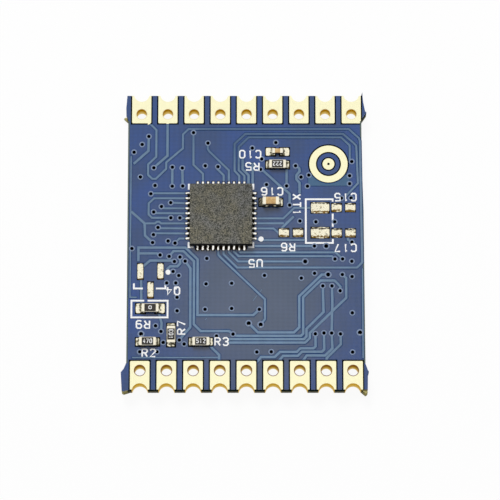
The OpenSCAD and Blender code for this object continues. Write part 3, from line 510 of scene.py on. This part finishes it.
def moulding(node, shader, place, look):
    # epoxy moulded round the chip and filled with silica: matt grey in two tones, peppered with dark grains and a few
    # pale ones, a little paler towards the near side, and painted near black on the sawn sides for the shade they lie
    # in. The grains are finer than a pixel, so they are drawn at about three times their size
    grains = node("TexVoronoi", place, per_mm(0.07)).outputs
    kind = node("SeparateXYZ", grains["Color"]).outputs
    flow = node("TexNoise", place, per_mm(1.6), 1.0)
    base = node("Mix", node("MapRange", flow, 0.35, 0.65), look.mould_warm, look.mould)
    dark = node("Mix", node("MapRange", kind["X"], 0.32, 0.68), look.mould_grain, base)
    peppered = node("Mix", node("Math", kind["Y"], 0.985, operation="GREATER_THAN"), dark, look.mould_speck)
    low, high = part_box("chip_body")
    along = node("SeparateXYZ", place).outputs["Y"]
    paler_near = node("HueSaturation", peppered, node("MapRange", along, low.y, high.y, 1.22, 0.88))
    # painted shade on the sides
    shade = node("Mix", node("MapRange", levelness(node), 0.85, 0.35), paler_near, look.mould_wall_shade)
    bump = node("Bump", grains["Distance"], 0.4, 0.01 * MM)
    fill(shader, {"Roughness": 0.65, "Specular IOR Level": 0.15, "Base Color": shade, "Normal": bump})


def printing_ink(node, shader, place, look):
    # screen-printed epoxy ink: opaque white, matt, a little thin in places
    thin = node("TexNoise", place, per_mm(0.25), 3.0)
    tint = node("HueSaturation", look.ink, node("MapRange", thin, 0.25, 0.45, 0.85, 1.0))
    fill(shader, {"Roughness": 0.55, "IOR": 1.5, "Base Color": tint})


def sawn_laminate(node, shader, place, look):
    # woven glass in epoxy: near black where a strip lies bare beside a land, and dark green with the pale lines of the
    # cloth where it was routed and snapped, paler in the lower half
    layers = node("TexWave", place, bands_mm(0.4), 2.0, 2.0, 1.5, bands_direction="Z").outputs["Fac"]
    fray = node("TexNoise", place, per_mm(0.15), 4.0)
    lines = node("Math", layers, fray, operation="MULTIPLY")
    faint = node("Math", lines, 0.3, operation="MULTIPLY")
    height = node("SeparateXYZ", place).outputs["Z"]
    upper = node("MapRange", height, BOARD_TOP * PALER_LOW, BOARD_TOP * PALER_HIGH)
    edge = node("Mix", upper, node("Mix", faint, look.laminate_foot, look.fibre), look.laminate)
    for spot in TORN_AT:
        edge = node("Mix", near_spot(node, place, spot, TORN_R, TORN_INNER, 1.0, (1, 1, 0)), edge, look.fibre)
    top = node("Math", height, BOARD_TOP - STRIP_DEPTH, operation="GREATER_THAN")
    # partly painted shade: the bare strips are dark resin, deepened to near black
    shade = node("Mix", levelness(node), edge, node("Mix", top, look.fibre, look.bare))
    bump = node("Bump", fray, 0.6, 0.02 * MM)
    fill(shader, {"Roughness": 0.6, "Specular IOR Level": 0.0, "Base Color": shade, "Normal": bump})


def matt_tin(look):
    return material("matt tin plating", white_metal, look.tin, look.flux_and_shade,
                    steep=0.35, roughness=0.4, lump=0.2, depth=0.01)


def white_ink(look):
    return material("white screen-printed epoxy ink", printing_ink, look)


def finish_nodes(names, made):
    """Gives CAD nodes a material."""
    for name in names:
        slots = NODES[name].data.materials
        slots.clear()
        slots.append(made)


def nodes_like(*starts):
    return [name for name in NODES if name.startswith(starts)]


def keep_piece(piece, name, made):
    """Names a new piece, gives it its material and lets it ride on the module."""
    piece.name = piece.data.name = name
    piece.data.materials.clear()
    piece.data.materials.append(made)
    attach(piece, "root")


def deselect():
    if bpy.context.mode != "OBJECT":
        bpy.ops.object.mode_set(mode="OBJECT")
    bpy.ops.object.select_all(action="DESELECT")


def settle(piece, place):
    """Moves the active piece, drawn round the origin, to its place."""
    piece.location = place
    bpy.ops.object.transform_apply(location=True, rotation=False, scale=False)


def draw_strokes(lines, width, thickness):
    """Lines of ink round the origin: points extruded into chains, given a round section and pressed flat."""
    deselect()
    bpy.ops.mesh.primitive_plane_add(size=width)
    bpy.ops.object.mode_set(mode="EDIT")
    bpy.ops.mesh.delete(type="VERT")
    for line in lines:
        bpy.ops.mesh.primitive_plane_add(size=width, location=(*line[0], 0))
        bpy.ops.mesh.merge(type="CENTER")
        for a, b in zip(line, line[1:]):
            bpy.ops.mesh.extrude_region_move(TRANSFORM_OT_translate={"value": (b[0] - a[0], b[1] - a[1], 0)})
        bpy.ops.mesh.select_all(action="DESELECT")
    bpy.ops.mesh.select_all(action="SELECT")
    bpy.ops.mesh.remove_doubles(threshold=width * STROKE_MERGE)
    bpy.ops.object.mode_set(mode="OBJECT")
    bpy.ops.object.convert(target="CURVE")
    drawn = bpy.context.object
    drawn.data.bevel_depth = width / 2
    drawn.data.bevel_resolution = 2
    drawn.data.use_fill_caps = True
    bpy.ops.object.convert(target="MESH")
    drawn = bpy.context.object
    drawn.scale.z = thickness / width
    bpy.ops.object.transform_apply(location=False, rotation=False, scale=True)
    if not drawn.data.polygons:
        raise RuntimeError("the strokes of a letter came out empty")
    return drawn


def draw_letter(char, width, height, stroke, thickness):
    """One letter, with its middle at the origin."""
    cells_x, cells_y = LETTER_GRID
    lines = [[((x / cells_x - 0.5) * width, (y / cells_y - 0.5) * height) for x, y in line] for line in STROKES[char]]
    return draw_strokes(lines, stroke, thickness)


def model_letters(texts, *sizes):
    """A model of each letter that the texts use."""
    return {char: draw_letter(char, *sizes) for char in sorted(set("".join(texts)))}


def join_copies(placed):
    """One piece from copies of modelled shapes, each given as shape, place and turn about Z."""
    copies = []
    for shape, place, turn in placed:
        copy = bpy.data.objects.new("copy", shape.data.copy())
        bpy.context.collection.objects.link(copy)
        copy.location = place
        copy.rotation_euler.z = turn
        copies.append(copy)
    deselect()
    for copy in copies:
        copy.select_set(True)
    bpy.context.view_layer.objects.active = copies[0]
    bpy.ops.object.join()
    bpy.ops.object.transform_apply(location=True, rotation=True, scale=True)
    return bpy.context.object


def write_text(text, middle, turn, step, letters):
    """Copies of modelled letters in a row, joined into one piece."""
    along = Vector((math.cos(turn), math.sin(turn), 0))
    return join_copies([(letters[char], Vector(middle) + along * (k - (len(text) - 1) / 2) * step, turn)
                        for k, char in enumerate(text)])


def pick(piece, test):
    """Selects the vertices of an open mesh whose place passes a test."""
    bpy.ops.mesh.select_mode(type="VERT")
    bpy.ops.mesh.select_all(action="DESELECT")
    bpy.ops.object.mode_set(mode="OBJECT")
    for vertex in piece.data.vertices:
        vertex.select = test(vertex.co)
    bpy.ops.object.mode_set(mode="EDIT")


def open_pool(middle, size, cells, height):
    """Opens a flat grid for a pool of solder, with the face of the mask at height 0."""
    deselect()
    bpy.ops.mesh.primitive_grid_add(x_subdivisions=cells[0], y_subdivisions=cells[1], size=1)
    pool = bpy.context.object
    bpy.ops.object.mode_set(mode="EDIT")
    bpy.ops.transform.resize(value=(*size, 1), center_override=(0, 0, 0))
    for share in CORNER_SHARES:
        pick(pool, lambda p: abs(p.x) / size[0] + abs(p.y) / size[1] > share / 2)
        bpy.ops.transform.resize(value=(CORNER_PULL, CORNER_PULL, 1), center_override=(0, 0, 0))
    bpy.ops.mesh.select_all(action="SELECT")
    bpy.ops.transform.translate(value=(*middle, height))
    return pool


def close_pool(depth, lump, seed):
    """Roughens the open pool, thins its rim, rounds its corners and closes it down to its land."""
    bpy.ops.mesh.select_all(action="SELECT")
    bpy.ops.transform.vertex_random(offset=lump, uniform=0, normal=1, seed=seed)
    bpy.ops.mesh.vertices_smooth(factor=SMOOTHING, repeat=1)
    bpy.ops.mesh.region_to_loop()
    bpy.ops.transform.resize(value=(1, 1, RIM_KEEP), center_override=(0, 0, 0))
    bpy.ops.transform.vertex_random(offset=lump, uniform=0, normal=0, seed=seed)
    bpy.ops.mesh.vertices_smooth(factor=SMOOTHING, repeat=2)
    bpy.ops.mesh.select_mode(type="FACE")
    bpy.ops.mesh.select_all(action="SELECT")
    bpy.ops.mesh.extrude_region_move(TRANSFORM_OT_translate={"value": (0, 0, -depth)})
    bpy.ops.transform.resize(value=(1, 1, 0), center_override=(0, 0, -depth))
    bpy.ops.mesh.select_all(action="SELECT")
    bpy.ops.mesh.normals_make_consistent(inside=False)
    bpy.ops.mesh.select_mode(type="VERT")
    bpy.ops.object.mode_set(mode="OBJECT")
    bpy.ops.object.shade_smooth_by_angle(angle=POOL_ANGLE)


def solder_joint(inner, outer, width, end, part_w, rise, sizes, cells, seed):
    """Solder on one land, drawn along X: it climbs the part's end and thins out to the rim of the land."""
    middle, size = ((inner + outer) / 2, 0), (outer - inner, width)
    pool = open_pool(middle, size, cells, sizes.film)
    step = size[0] / cells[0]
    pick(pool, lambda p: (-CELLS_BEHIND * step < p.x - end < CELLS_BEFORE * step
                          and abs(p.y) < part_w / 2 - sizes.film))
    bpy.ops.transform.translate(value=(0, 0, rise - sizes.film), use_proportional_edit=True,
                                proportional_edit_falloff="SHARP", proportional_size=sizes.reach)
    close_pool(sizes.depth, sizes.lump, seed)
    return pool


def bare_pool(size, sizes, seed):
    """Solder on a bare land, levelled to a loaf along X and uneven, with its middle at the origin."""
    size = [side + 2 * sizes.spill for side in size]
    cells = [max(LEAST_CELLS, round(side / POOL_CELL)) for side in size]
    pool = open_pool((0, 0), size, cells, sizes.film / 2)
    margin = max(SLOPE_SHARE * min(size), sizes.margin)
    pick(pool, lambda p: abs(p.y) < size[1] / 2 - margin)
    bpy.ops.transform.translate(value=(0, 0, sizes.crown), use_proportional_edit=True,
                                proportional_edit_falloff="SMOOTH", proportional_size=margin * SWELL_SHARE)
    close_pool(sizes.depth, sizes.lump * BARE_LUMPS, seed)
    return pool


def open_block(size, middle):
    """Opens a block of a size at its middle."""
    deselect()
    bpy.ops.mesh.primitive_cube_add(size=1)
    bpy.ops.object.mode_set(mode="EDIT")
    bpy.ops.transform.resize(value=size, center_override=(0, 0, 0))
    bpy.ops.transform.translate(value=middle)
    return bpy.context.object


def end_block(size, radius):
    """A metal end with rounded edges, its middle at the origin and its lowest face at height 0."""
    block = open_block(size, (0, 0, size[2] / 2))
    bpy.ops.mesh.bevel(offset=radius, segments=END_SEGMENTS, affect="EDGES")
    bpy.ops.object.mode_set(mode="OBJECT")
    bpy.ops.object.shade_smooth_by_angle(angle=BLOCK_ANGLE)
    return block


def open_copy(node):
    """Opens a copy of a CAD mesh, its points merged and selected."""
    deselect()
    copy = bpy.data.objects.new(node, NODES[node].data.copy())
    bpy.context.collection.objects.link(copy)
    copy.select_set(True)
    bpy.context.view_layer.objects.active = copy
    bpy.ops.object.mode_set(mode="EDIT")
    bpy.ops.mesh.select_all(action="SELECT")
    bpy.ops.mesh.remove_doubles(threshold=MERGE)
    bpy.ops.mesh.customdata_custom_splitnormals_clear()
    return copy


def rounded_copy(node, radius, only=None):
    """A copy of a plain CAD block with its edges rounded, or only the edges between points that pass a test."""
    copy = open_copy(node)
    bpy.ops.mesh.dissolve_limited(angle_limit=FLAT)
    bpy.ops.mesh.select_all(action="SELECT")
    if only:
        pick(copy, only)
    bpy.ops.mesh.bevel(offset=radius, segments=EDGE_SEGMENTS, affect="EDGES")
    bpy.ops.object.mode_set(mode="OBJECT")
    bpy.ops.object.shade_smooth_by_angle(angle=BLOCK_ANGLE)
    return copy


def part_lie(part):
    """Middle, lowest point, length, width, height and turn of a chip part, from the box of its ends."""
    low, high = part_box(part + "_ends")
    size = high - low
    turn = 0 if size.x > size.y else math.pi / 2
    return (low + high) / 2, low.z, max(size.x, size.y), min(size.x, size.y), size.z, turn


def top_middle(low, high):
    """Middle of the top of a box."""
    return (low.x + high.x) / 2, (low.y + high.y) / 2, high.z


def drop(objects):
    for spare in objects:
        bpy.data.objects.remove(spare)


class MODULE_OT_dress_board(bpy.types.Operator):
    """Gives the board its laminate, mask, masked copper, vias and printed marks"""
    bl_idname = "module.dress_board"
    bl_label = "Dress the board"

    def execute(self, context):
        look = context.scene.module_colours
        finish_nodes(["laminate"], material("sawn glass-epoxy laminate", sawn_laminate, look))
        finish_nodes(["front_solder_mask", "back_solder_mask"],
                     material("blue epoxy solder mask, cured gloss", solder_mask, look))
        finish_nodes(["copper_traces"], material("mask thinned over copper", masked_metal, look.trace, roughness=0.2,
                                                 gloss=0.5, area=look.pour, faint=look.faint_trace))
        finish_nodes(["plated_vias"], material("masked copper via", via_plating, look))
        finish_nodes(["printed_marks"], white_ink(look))
        return {"FINISHED"}


class MODULE_OT_plate_terminals(bpy.types.Operator):
    """Gives the edge terminals and the antenna land their gold"""
    bl_idname = "module.plate_terminals"
    bl_label = "Plate the terminals"

    def execute(self, context):
        gold = material("immersion gold over nickel", gold_plating, context.scene.module_colours)
        finish_nodes(nodes_like("terminal_", "antenna_"), gold)
        return {"FINISHED"}


class MODULE_OT_dress_chip(bpy.types.Operator):
    """Gives the chip its moulded body, with eased top edges, and tinned contacts"""
    bl_idname = "module.dress_chip"
    bl_label = "Dress the chip"

    def execute(self, context):
        look = context.scene.module_colours
        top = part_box("chip_body")[1].z
        body = rounded_copy("chip_body", context.scene.module_ends.chip_round, lambda p: p.z > top - MERGE)
        keep_piece(body, "chip_block", material("moulded epoxy with silica filler", moulding, look))
        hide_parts("chip_body")
        finish_nodes(["chip_contacts", "chip_heat_pad"], matt_tin(look))
        return {"FINISHED"}


class MODULE_OT_solder_chip(bpy.types.Operator):
    """Runs solder from the chip's lands up its contacts"""
    bl_idname = "module.solder_chip"
    bl_label = "Solder the chip"

    def execute(self, context):
        look, sizes = context.scene.module_colours, context.scene.module_solder
        low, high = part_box("chip_body")
        middle, half = (low + high) / 2, (high.x - low.x) / 2
        joint = solder_joint(half - sizes.contact_in, half + sizes.contact_reach, sizes.contact_w, half,
                             sizes.contact_w, sizes.contact_rise, sizes, CONTACT_CELLS, 1)
        placed = []
        for side in range(CHIP_SIDES):
            turn = side * math.pi / 2
            for k in range(CONTACTS):
                step = (k - (CONTACTS - 1) / 2) * sizes.pitch
                x, y = middle.x - math.sin(turn) * step, middle.y + math.cos(turn) * step
                placed.append((joint, (x, y, BOARD_TOP), turn))
        solder = join_copies(placed)
        drop([joint])
        # the slopes of the contacts' solder are painted dark, a painted shade
        clean = material("clean solder at a contact", white_metal, look.white_solder, look.dark_painted_shade,
                         steep=0.86, roughness=0.25, lump=0.2, depth=0.01)
        keep_piece(solder, "chip_joints", clean)
        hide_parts("chip_solder")
        return {"FINISHED"}


class MODULE_OT_dress_chip_parts(bpy.types.Operator):
    """Rounds the bodies and coats of the capacitors and resistors and gives them their ceramic and glass"""
    bl_idname = "module.dress_chip_parts"
    bl_label = "Dress the chip parts"

    def execute(self, context):
        look, sizes = context.scene.module_colours, context.scene.module_ends
        tan = material("tan fired capacitor ceramic", speckled, look.ceramic, look.ceramic_speck, look.dark_painted_shade,
                       size=0.25, roughness=0.45, depth=0.01)
        for part, radius in zip(CAPACITORS, (sizes.small_round, sizes.large_round)):
            body = rounded_copy(part + "_body", radius)
            keep_piece(body, part + "_block", tan)
            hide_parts(part + "_body")
        white = material("white alumina", speckled, look.alumina, look.tin, look.dark_painted_shade,
                         size=0.15, roughness=0.5, depth=0.01)
        finish_nodes([part + "_body" for part in RESISTORS], white)
        glass = material("dark overglaze glass", speckled, look.coat, look.coat_speck, look.dark_painted_shade,
                         size=0.2, roughness=0.35, depth=0.005)
        for part in RESISTORS:
            coat = rounded_copy(part + "_coat", sizes.coat_round)
            keep_piece(coat, part + "_glaze", glass)
            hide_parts(part + "_coat")
        return {"FINISHED"}


class MODULE_OT_cap_ends(bpy.types.Operator):
    """Puts rounded metal ends on the capacitors and resistors"""
    bl_idname = "module.cap_ends"
    bl_label = "Cap the ends"

    def execute(self, context):
        sizes = context.scene.module_ends
        tin = matt_tin(context.scene.module_colours)
        shapes = dict(zip(CAPACITORS, (
            (sizes.small_end, 0, sizes.small_round), (sizes.large_end, 0, sizes.large_round))))
        for part in CAPACITORS + RESISTORS:
            end_l, inset, radius = shapes.get(part, (sizes.resistor_end, sizes.inset, sizes.small_round))
            middle, base, long, wide, high, turn = part_lie(part)
            block = end_block((end_l, wide - 2 * inset, high), radius)
            along = Vector((math.cos(turn), math.sin(turn), 0)) * (long - end_l) / 2
            place = Vector((middle.x, middle.y, base))
            ends = join_copies([(block, place + along, turn), (block, place - along, turn + math.pi)])
            drop([block])
            keep_piece(ends, part + "_caps", tin)
            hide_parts(part + "_ends")
        return {"FINISHED"}


class MODULE_OT_solder_parts(bpy.types.Operator):
    """Runs solder from the lands up the ends of the chip parts"""
    bl_idname = "module.solder_parts"
    bl_label = "Solder the chip parts"

    def execute(self, context):
        look, sizes = context.scene.module_colours, context.scene.module_solder
        placed, joints = [], []
        for number, part in enumerate(CAPACITORS + RESISTORS):
            middle, _, long, wide, _, turn = part_lie(part)
            span, width = (sizes.link_span, sizes.link_land_w) if part == LINK else (sizes.land_span, sizes.land_w)
            for half in (0, 1):
                joint = solder_joint(span / 2 - sizes.land_l, span / 2, width, long / 2, wide, sizes.rise, sizes,
                                     LAND_CELLS, 2 * number + half)
                joints.append(joint)
                placed.append((joint, (middle.x, middle.y, BOARD_TOP), turn + half * math.pi))
        solder = join_copies(placed)
        drop(joints)
        bright = material("bright reflowed solder", white_metal, look.solder, look.flux_and_shade,
                          steep=0.82, roughness=0.25, lump=0.2, depth=0.02)
        keep_piece(solder, "chip_part_joints", bright)
        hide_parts("chip_part_solder")
        return {"FINISHED"}


class MODULE_OT_tin_lands(bpy.types.Operator):
    """Leaves uneven solder on the lands of the parts that aren't fitted"""
    bl_idname = "module.tin_lands"
    bl_label = "Tin the bare lands"

    def execute(self, context):
        look, sizes = context.scene.module_colours, context.scene.module_solder
        # the near slopes carry a painted amber reflection, and the far slopes a painted dark shade
        made = material("levelled solder on a bare land", white_metal, look.solder, look.flux_and_shade, steep=0.82,
                        roughness=0.25, lump=0.3, depth=0.04, residue=(look.amber_painted_reflection, look.dark_painted_shade))
        for node, lands in BARE_LANDS.items():
            pools = [bare_pool(mm(*size), sizes, seed) for seed, (_, size) in enumerate(lands)]
            tinned = join_copies([(pool, (*mm(*middle), BOARD_TOP), 0) for pool, (middle, _) in zip(pools, lands)])
            drop(pools)
            keep_piece(tinned, node.replace("lands", "pools"), made)
            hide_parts(node)
        return {"FINISHED"}


class MODULE_OT_etch_gaps(bpy.types.Operator):
    """Lays the darker strips of mask beside the traces, where the copper is etched away"""
    bl_idname = "module.etch_gaps"
    bl_label = "Etch the gaps"

    def execute(self, context):
        wear = context.scene.module_wear
        low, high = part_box("copper_traces")
        strip = open_copy("copper_traces")
        bpy.ops.transform.shrink_fatten(value=wear.gap_w * math.sqrt(2))
        flat = wear.gap_t / (high.z - low.z + wear.gap_w)
        bpy.ops.transform.resize(value=(1, 1, flat), center_override=(0, 0, low.z))
        bpy.ops.object.mode_set(mode="OBJECT")
        deep = material("mask over etched laminate", masked_metal, context.scene.module_colours.gap,
                        roughness=0.4, gloss=0.2)
        keep_piece(strip, "etched_gaps", deep)
        return {"FINISHED"}


class MODULE_OT_print_labels(bpy.types.Operator):
    """Prints the reference labels beside the parts"""
    bl_idname = "module.print_labels"
    bl_label = "Print the labels"

    def execute(self, context):
        sizes = context.scene.module_print
        ink = white_ink(context.scene.module_colours)
        thickness = PRINT_TOP - BOARD_TOP
        letters = model_letters([text for text, _, _ in LABELS], sizes.letter_w, sizes.letter_h, sizes.stroke_w,
                                thickness)
        for text, spot, turn in LABELS:
            middle = (*mm(*spot), BOARD_TOP + thickness / 2)
            label = write_text(text, middle, math.radians(turn), sizes.letter_step, letters)
            keep_piece(label, "label_" + text.lower(), ink)
        drop(letters.values())
        return {"FINISHED"}


class MODULE_OT_print_codes(bpy.types.Operator):
    """Prints the value codes on the resistors"""
    bl_idname = "module.print_codes"
    bl_label = "Print the value codes"

    def execute(self, context):
        sizes = context.scene.module_print
        ink = white_ink(context.scene.module_colours)
        letters = model_letters([code for _, code, _ in CODES], sizes.code_w, sizes.code_h, sizes.code_stroke,
                                sizes.code_t)
        for number, code, turn in CODES:
            low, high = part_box(f"resistor_{number}_coat")
            digits = write_text(code, top_middle(low, high), math.radians(turn), sizes.code_step, letters)
            keep_piece(digits, f"code_{number}", ink)
        drop(letters.values())
        low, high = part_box("resistor_2_coat")
        zero_w, zero_h = (sizes.code_w * share for share in LINK_ZERO)
        ring = draw_letter("0", zero_w, zero_h, sizes.code_stroke, sizes.code_t)
        settle(ring, top_middle(low, high))
        keep_piece(ring, "code_2", ink)
        return {"FINISHED"}


class MODULE_OT_scratch_mask(bpy.types.Operator):
    """Scratches the mask below the chip"""
    bl_idname = "module.scratch_mask"
    bl_label = "Scratch the mask"

    def execute(self, context):
        width = context.scene.module_wear.scratch_w
        lines = [[mm(*spot) for spot in line] for line in SCRATCHES]
        scuff = draw_strokes(lines, width, width * SCRATCH_FLAT)
        settle(scuff, (0, 0, BOARD_TOP))
        dull = material("scuffed mask", masked_metal, context.scene.module_colours.trace, roughness=0.5, gloss=0.5)
        keep_piece(scuff, "mask_scratches", dull)
        return {"FINISHED"}


class MODULE_OT_bare_rims(bpy.types.Operator):
    """Leaves a thin bare rim along the routed sides of the board"""
    bl_idname = "module.bare_rims"
    bl_label = "Bare the rims"

    def execute(self, context):
        wear = context.scene.module_wear
        inset = wear.rim_w * RIM_INSET
        lines = [[(x * MM - math.copysign(inset, x), y * MM) for x, y in line] for line in RIMS]
        rims = draw_strokes(lines, wear.rim_w, wear.gap_t * RIM_FILM)
        settle(rims, (0, 0, BOARD_TOP))
        resin = material("bare resin at a routed side", masked_metal, context.scene.module_colours.rim,
                         roughness=0.6, gloss=0.0)
        keep_piece(rims, "bare_rims", resin)
        return {"FINISHED"}


class MODULE_OT_paint_chip_shadow(bpy.types.Operator):
    """Lays a dark film of painted shadow on the mask at the chip's near side, between its contacts"""
    bl_idname = "module.burn_flux"
    bl_label = "Burn the flux"

    def execute(self, context):
        wear, pitch = context.scene.module_wear, context.scene.module_solder.pitch
        low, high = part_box("chip_body")
        film = open_block((pitch * CONTACTS, wear.shadow_reach, wear.shadow_film_t),
                          ((low.x + high.x) / 2, low.y - wear.shadow_reach / 2, BOARD_TOP + wear.shadow_film_t / 2))
        bpy.ops.object.mode_set(mode="OBJECT")
        # painted shadow: the film is painted dark where the chip's shadow falls
        painted_shading = material("burnt flux film", masked_metal, context.scene.module_colours.dark_painted_shade,
                         roughness=0.5, gloss=0.0)
        keep_piece(film, "painted_chip_shadow", painted_shading)
        return {"FINISHED"}


class MODULE_OT_set_stage(bpy.types.Operator):
    """Sets the floor, the light and the camera"""
    bl_idname = "module.set_stage"
    bl_label = "Set the stage"

    def execute(self, context):
        stage = context.scene.module_stage
        context.scene.view_settings.view_transform = "Standard"
        self.lay_floor(stage)
        self.hang_flag()
        camera = self.place_camera(context, stage)
        self.light(context, stage, camera)
        return {"FINISHED"}

    def lay_floor(self, stage):
        deselect()
        bpy.ops.mesh.primitive_plane_add(size=FLOOR_SIZE, location=(0, 0, -FLOOR_DROP))
        floor = bpy.context.object
        floor.name = "floor"
        bpy.ops.object.transform_apply(location=True, rotation=True, scale=True)
        # seamless white paper: matt, and white to the eye however little light falls on it
        paper, node, shader = new_material("seamless white paper")
        fill(shader, {"Roughness": 0.9, "Base Color": linear("F2F2F2")})
        share = node("Math", seen_directly(node), stage.paper, operation="MULTIPLY")
        both = node("MixShader", share, shader, node("Emission"))
        fill(paper.node_tree.nodes["Material Output"], {"Surface": both})
        floor.data.materials.append(paper)

    def hang_flag(self):
        # dark card on the near side, out of sight and not mirrored: it keeps the near sides of the parts dark
        deselect()
        bpy.ops.mesh.primitive_plane_add(size=1, location=FLAG_AT, rotation=(math.radians(90), 0, 0))
        flag = bpy.context.object
        flag.name = "flag"
        flag.scale = FLAG_SIZE
        bpy.ops.object.transform_apply(location=True, rotation=True, scale=True)
        flag.visible_camera = flag.visible_glossy = False
        # felt: soaks up nearly all the light that falls on it
        felt, _, shader = new_material("black felt")
        fill(shader, {"Base Color": linear("1A1A1A"), "Roughness": 1.0})
        flag.data.materials.append(felt)

    def light(self, context, stage, camera):
        world = bpy.data.worlds.new("white studio")
        context.scene.world = world
        world.use_nodes = True
        node = partial(add_node, world.node_tree)
        level = node("MapRange", seen_directly(node), 0, 1, stage.dome, 1)
        fill(world.node_tree.nodes["Background"], {"Color": (1, 1, 1), "Strength": level})
        # the metals mirror the white dome alone, so that they don't clip
        key = self.hang_lamp(context, "key", stage.key, KEY_SIZE, Vector(KEY_AT), Vector())
        key.visible_glossy = False
        # a small lamp in the direction that the mask mirrors to the camera leaves a soft sheen on it
        spot = Vector(stage.sheen_at)
        mirrored = (camera.location - spot) * Vector((-1, -1, 1))
        place = spot + mirrored.normalized() * SHEEN_AWAY
        sheen = self.hang_lamp(context, "sheen", stage.sheen, SHEEN_SIZE, place, spot)
        sheen.data.color = stage.sheen_colour

    def hang_lamp(self, context, name, power, size, place, target):
        lamp = bpy.data.lights.new(name, "AREA")
        lamp.size = size
        lamp.energy = power
        hung = bpy.data.objects.new(name, lamp)
        hung.location = place
        hung.rotation_euler = (target - place).to_track_quat("-Z", "Y").to_euler()
        context.collection.objects.link(hung)
        return hung

    def place_camera(self, context, stage):
        lens = bpy.data.cameras.new("camera")
        lens.sensor_width = FRAME_W
        lens.lens = stage.lens
        lens.clip_start, lens.clip_end = CLIP
        camera = bpy.data.objects.new("camera", lens)
        away = Vector((0, -math.sin(stage.tilt), math.cos(stage.tilt)))
        camera.location = Vector(stage.aim) + away * stage.distance
        camera.rotation_euler = (stage.tilt, 0, 0)
        context.collection.objects.link(camera)
        context.scene.camera = camera
        return camera


OPERATORS = (
    MODULE_OT_dress_board, MODULE_OT_plate_terminals, MODULE_OT_dress_chip, MODULE_OT_solder_chip,
    MODULE_OT_dress_chip_parts, MODULE_OT_cap_ends, MODULE_OT_solder_parts, MODULE_OT_tin_lands, MODULE_OT_etch_gaps,
    MODULE_OT_print_labels, MODULE_OT_print_codes, MODULE_OT_scratch_mask, MODULE_OT_bare_rims, MODULE_OT_paint_chip_shadow,
    MODULE_OT_set_stage,
)


class MODULE_PT_pieces(bpy.types.Panel):
    """Lists the steps that dress the module"""
    bl_idname = "MODULE_PT_pieces"
    bl_label = "Module"
    bl_space_type = "VIEW_3D"
    bl_region_type = "UI"
    bl_category = "Module"

    def draw(self, context):
        for operator in OPERATORS:
            self.layout.operator(operator.bl_idname)


GROUPS = {
    "module_colours": ModuleColours, "module_print": ModulePrint, "module_solder": ModuleSolder,
    "module_ends": ModuleEnds, "module_wear": ModuleWear, "module_stage": ModuleStage,
}


def register():
    for made in (*GROUPS.values(), *OPERATORS, MODULE_PT_pieces):
        bpy.utils.register_class(made)
    for name, group in GROUPS.items():
        setattr(bpy.types.Scene, name, bpy.props.PointerProperty(type=group))


def unregister():
    for name in GROUPS:
        delattr(bpy.types.Scene, name)
    for made in reversed((*GROUPS.values(), *OPERATORS, MODULE_PT_pieces)):
        bpy.utils.unregister_class(made)


def main():
    register()
    bpy.ops.module.dress_board()
    bpy.ops.module.plate_terminals()
    bpy.ops.module.dress_chip()
    bpy.ops.module.solder_chip()
    bpy.ops.module.dress_chip_parts()
    bpy.ops.module.cap_ends()
    bpy.ops.module.solder_parts()
    bpy.ops.module.tin_lands()
    bpy.ops.module.etch_gaps()
    bpy.ops.module.print_labels()
    bpy.ops.module.print_codes()
    bpy.ops.module.scratch_mask()
    bpy.ops.module.bare_rims()
    bpy.ops.module.burn_flux()
    bpy.ops.module.set_stage()


if __name__ == "__main__":
    main()
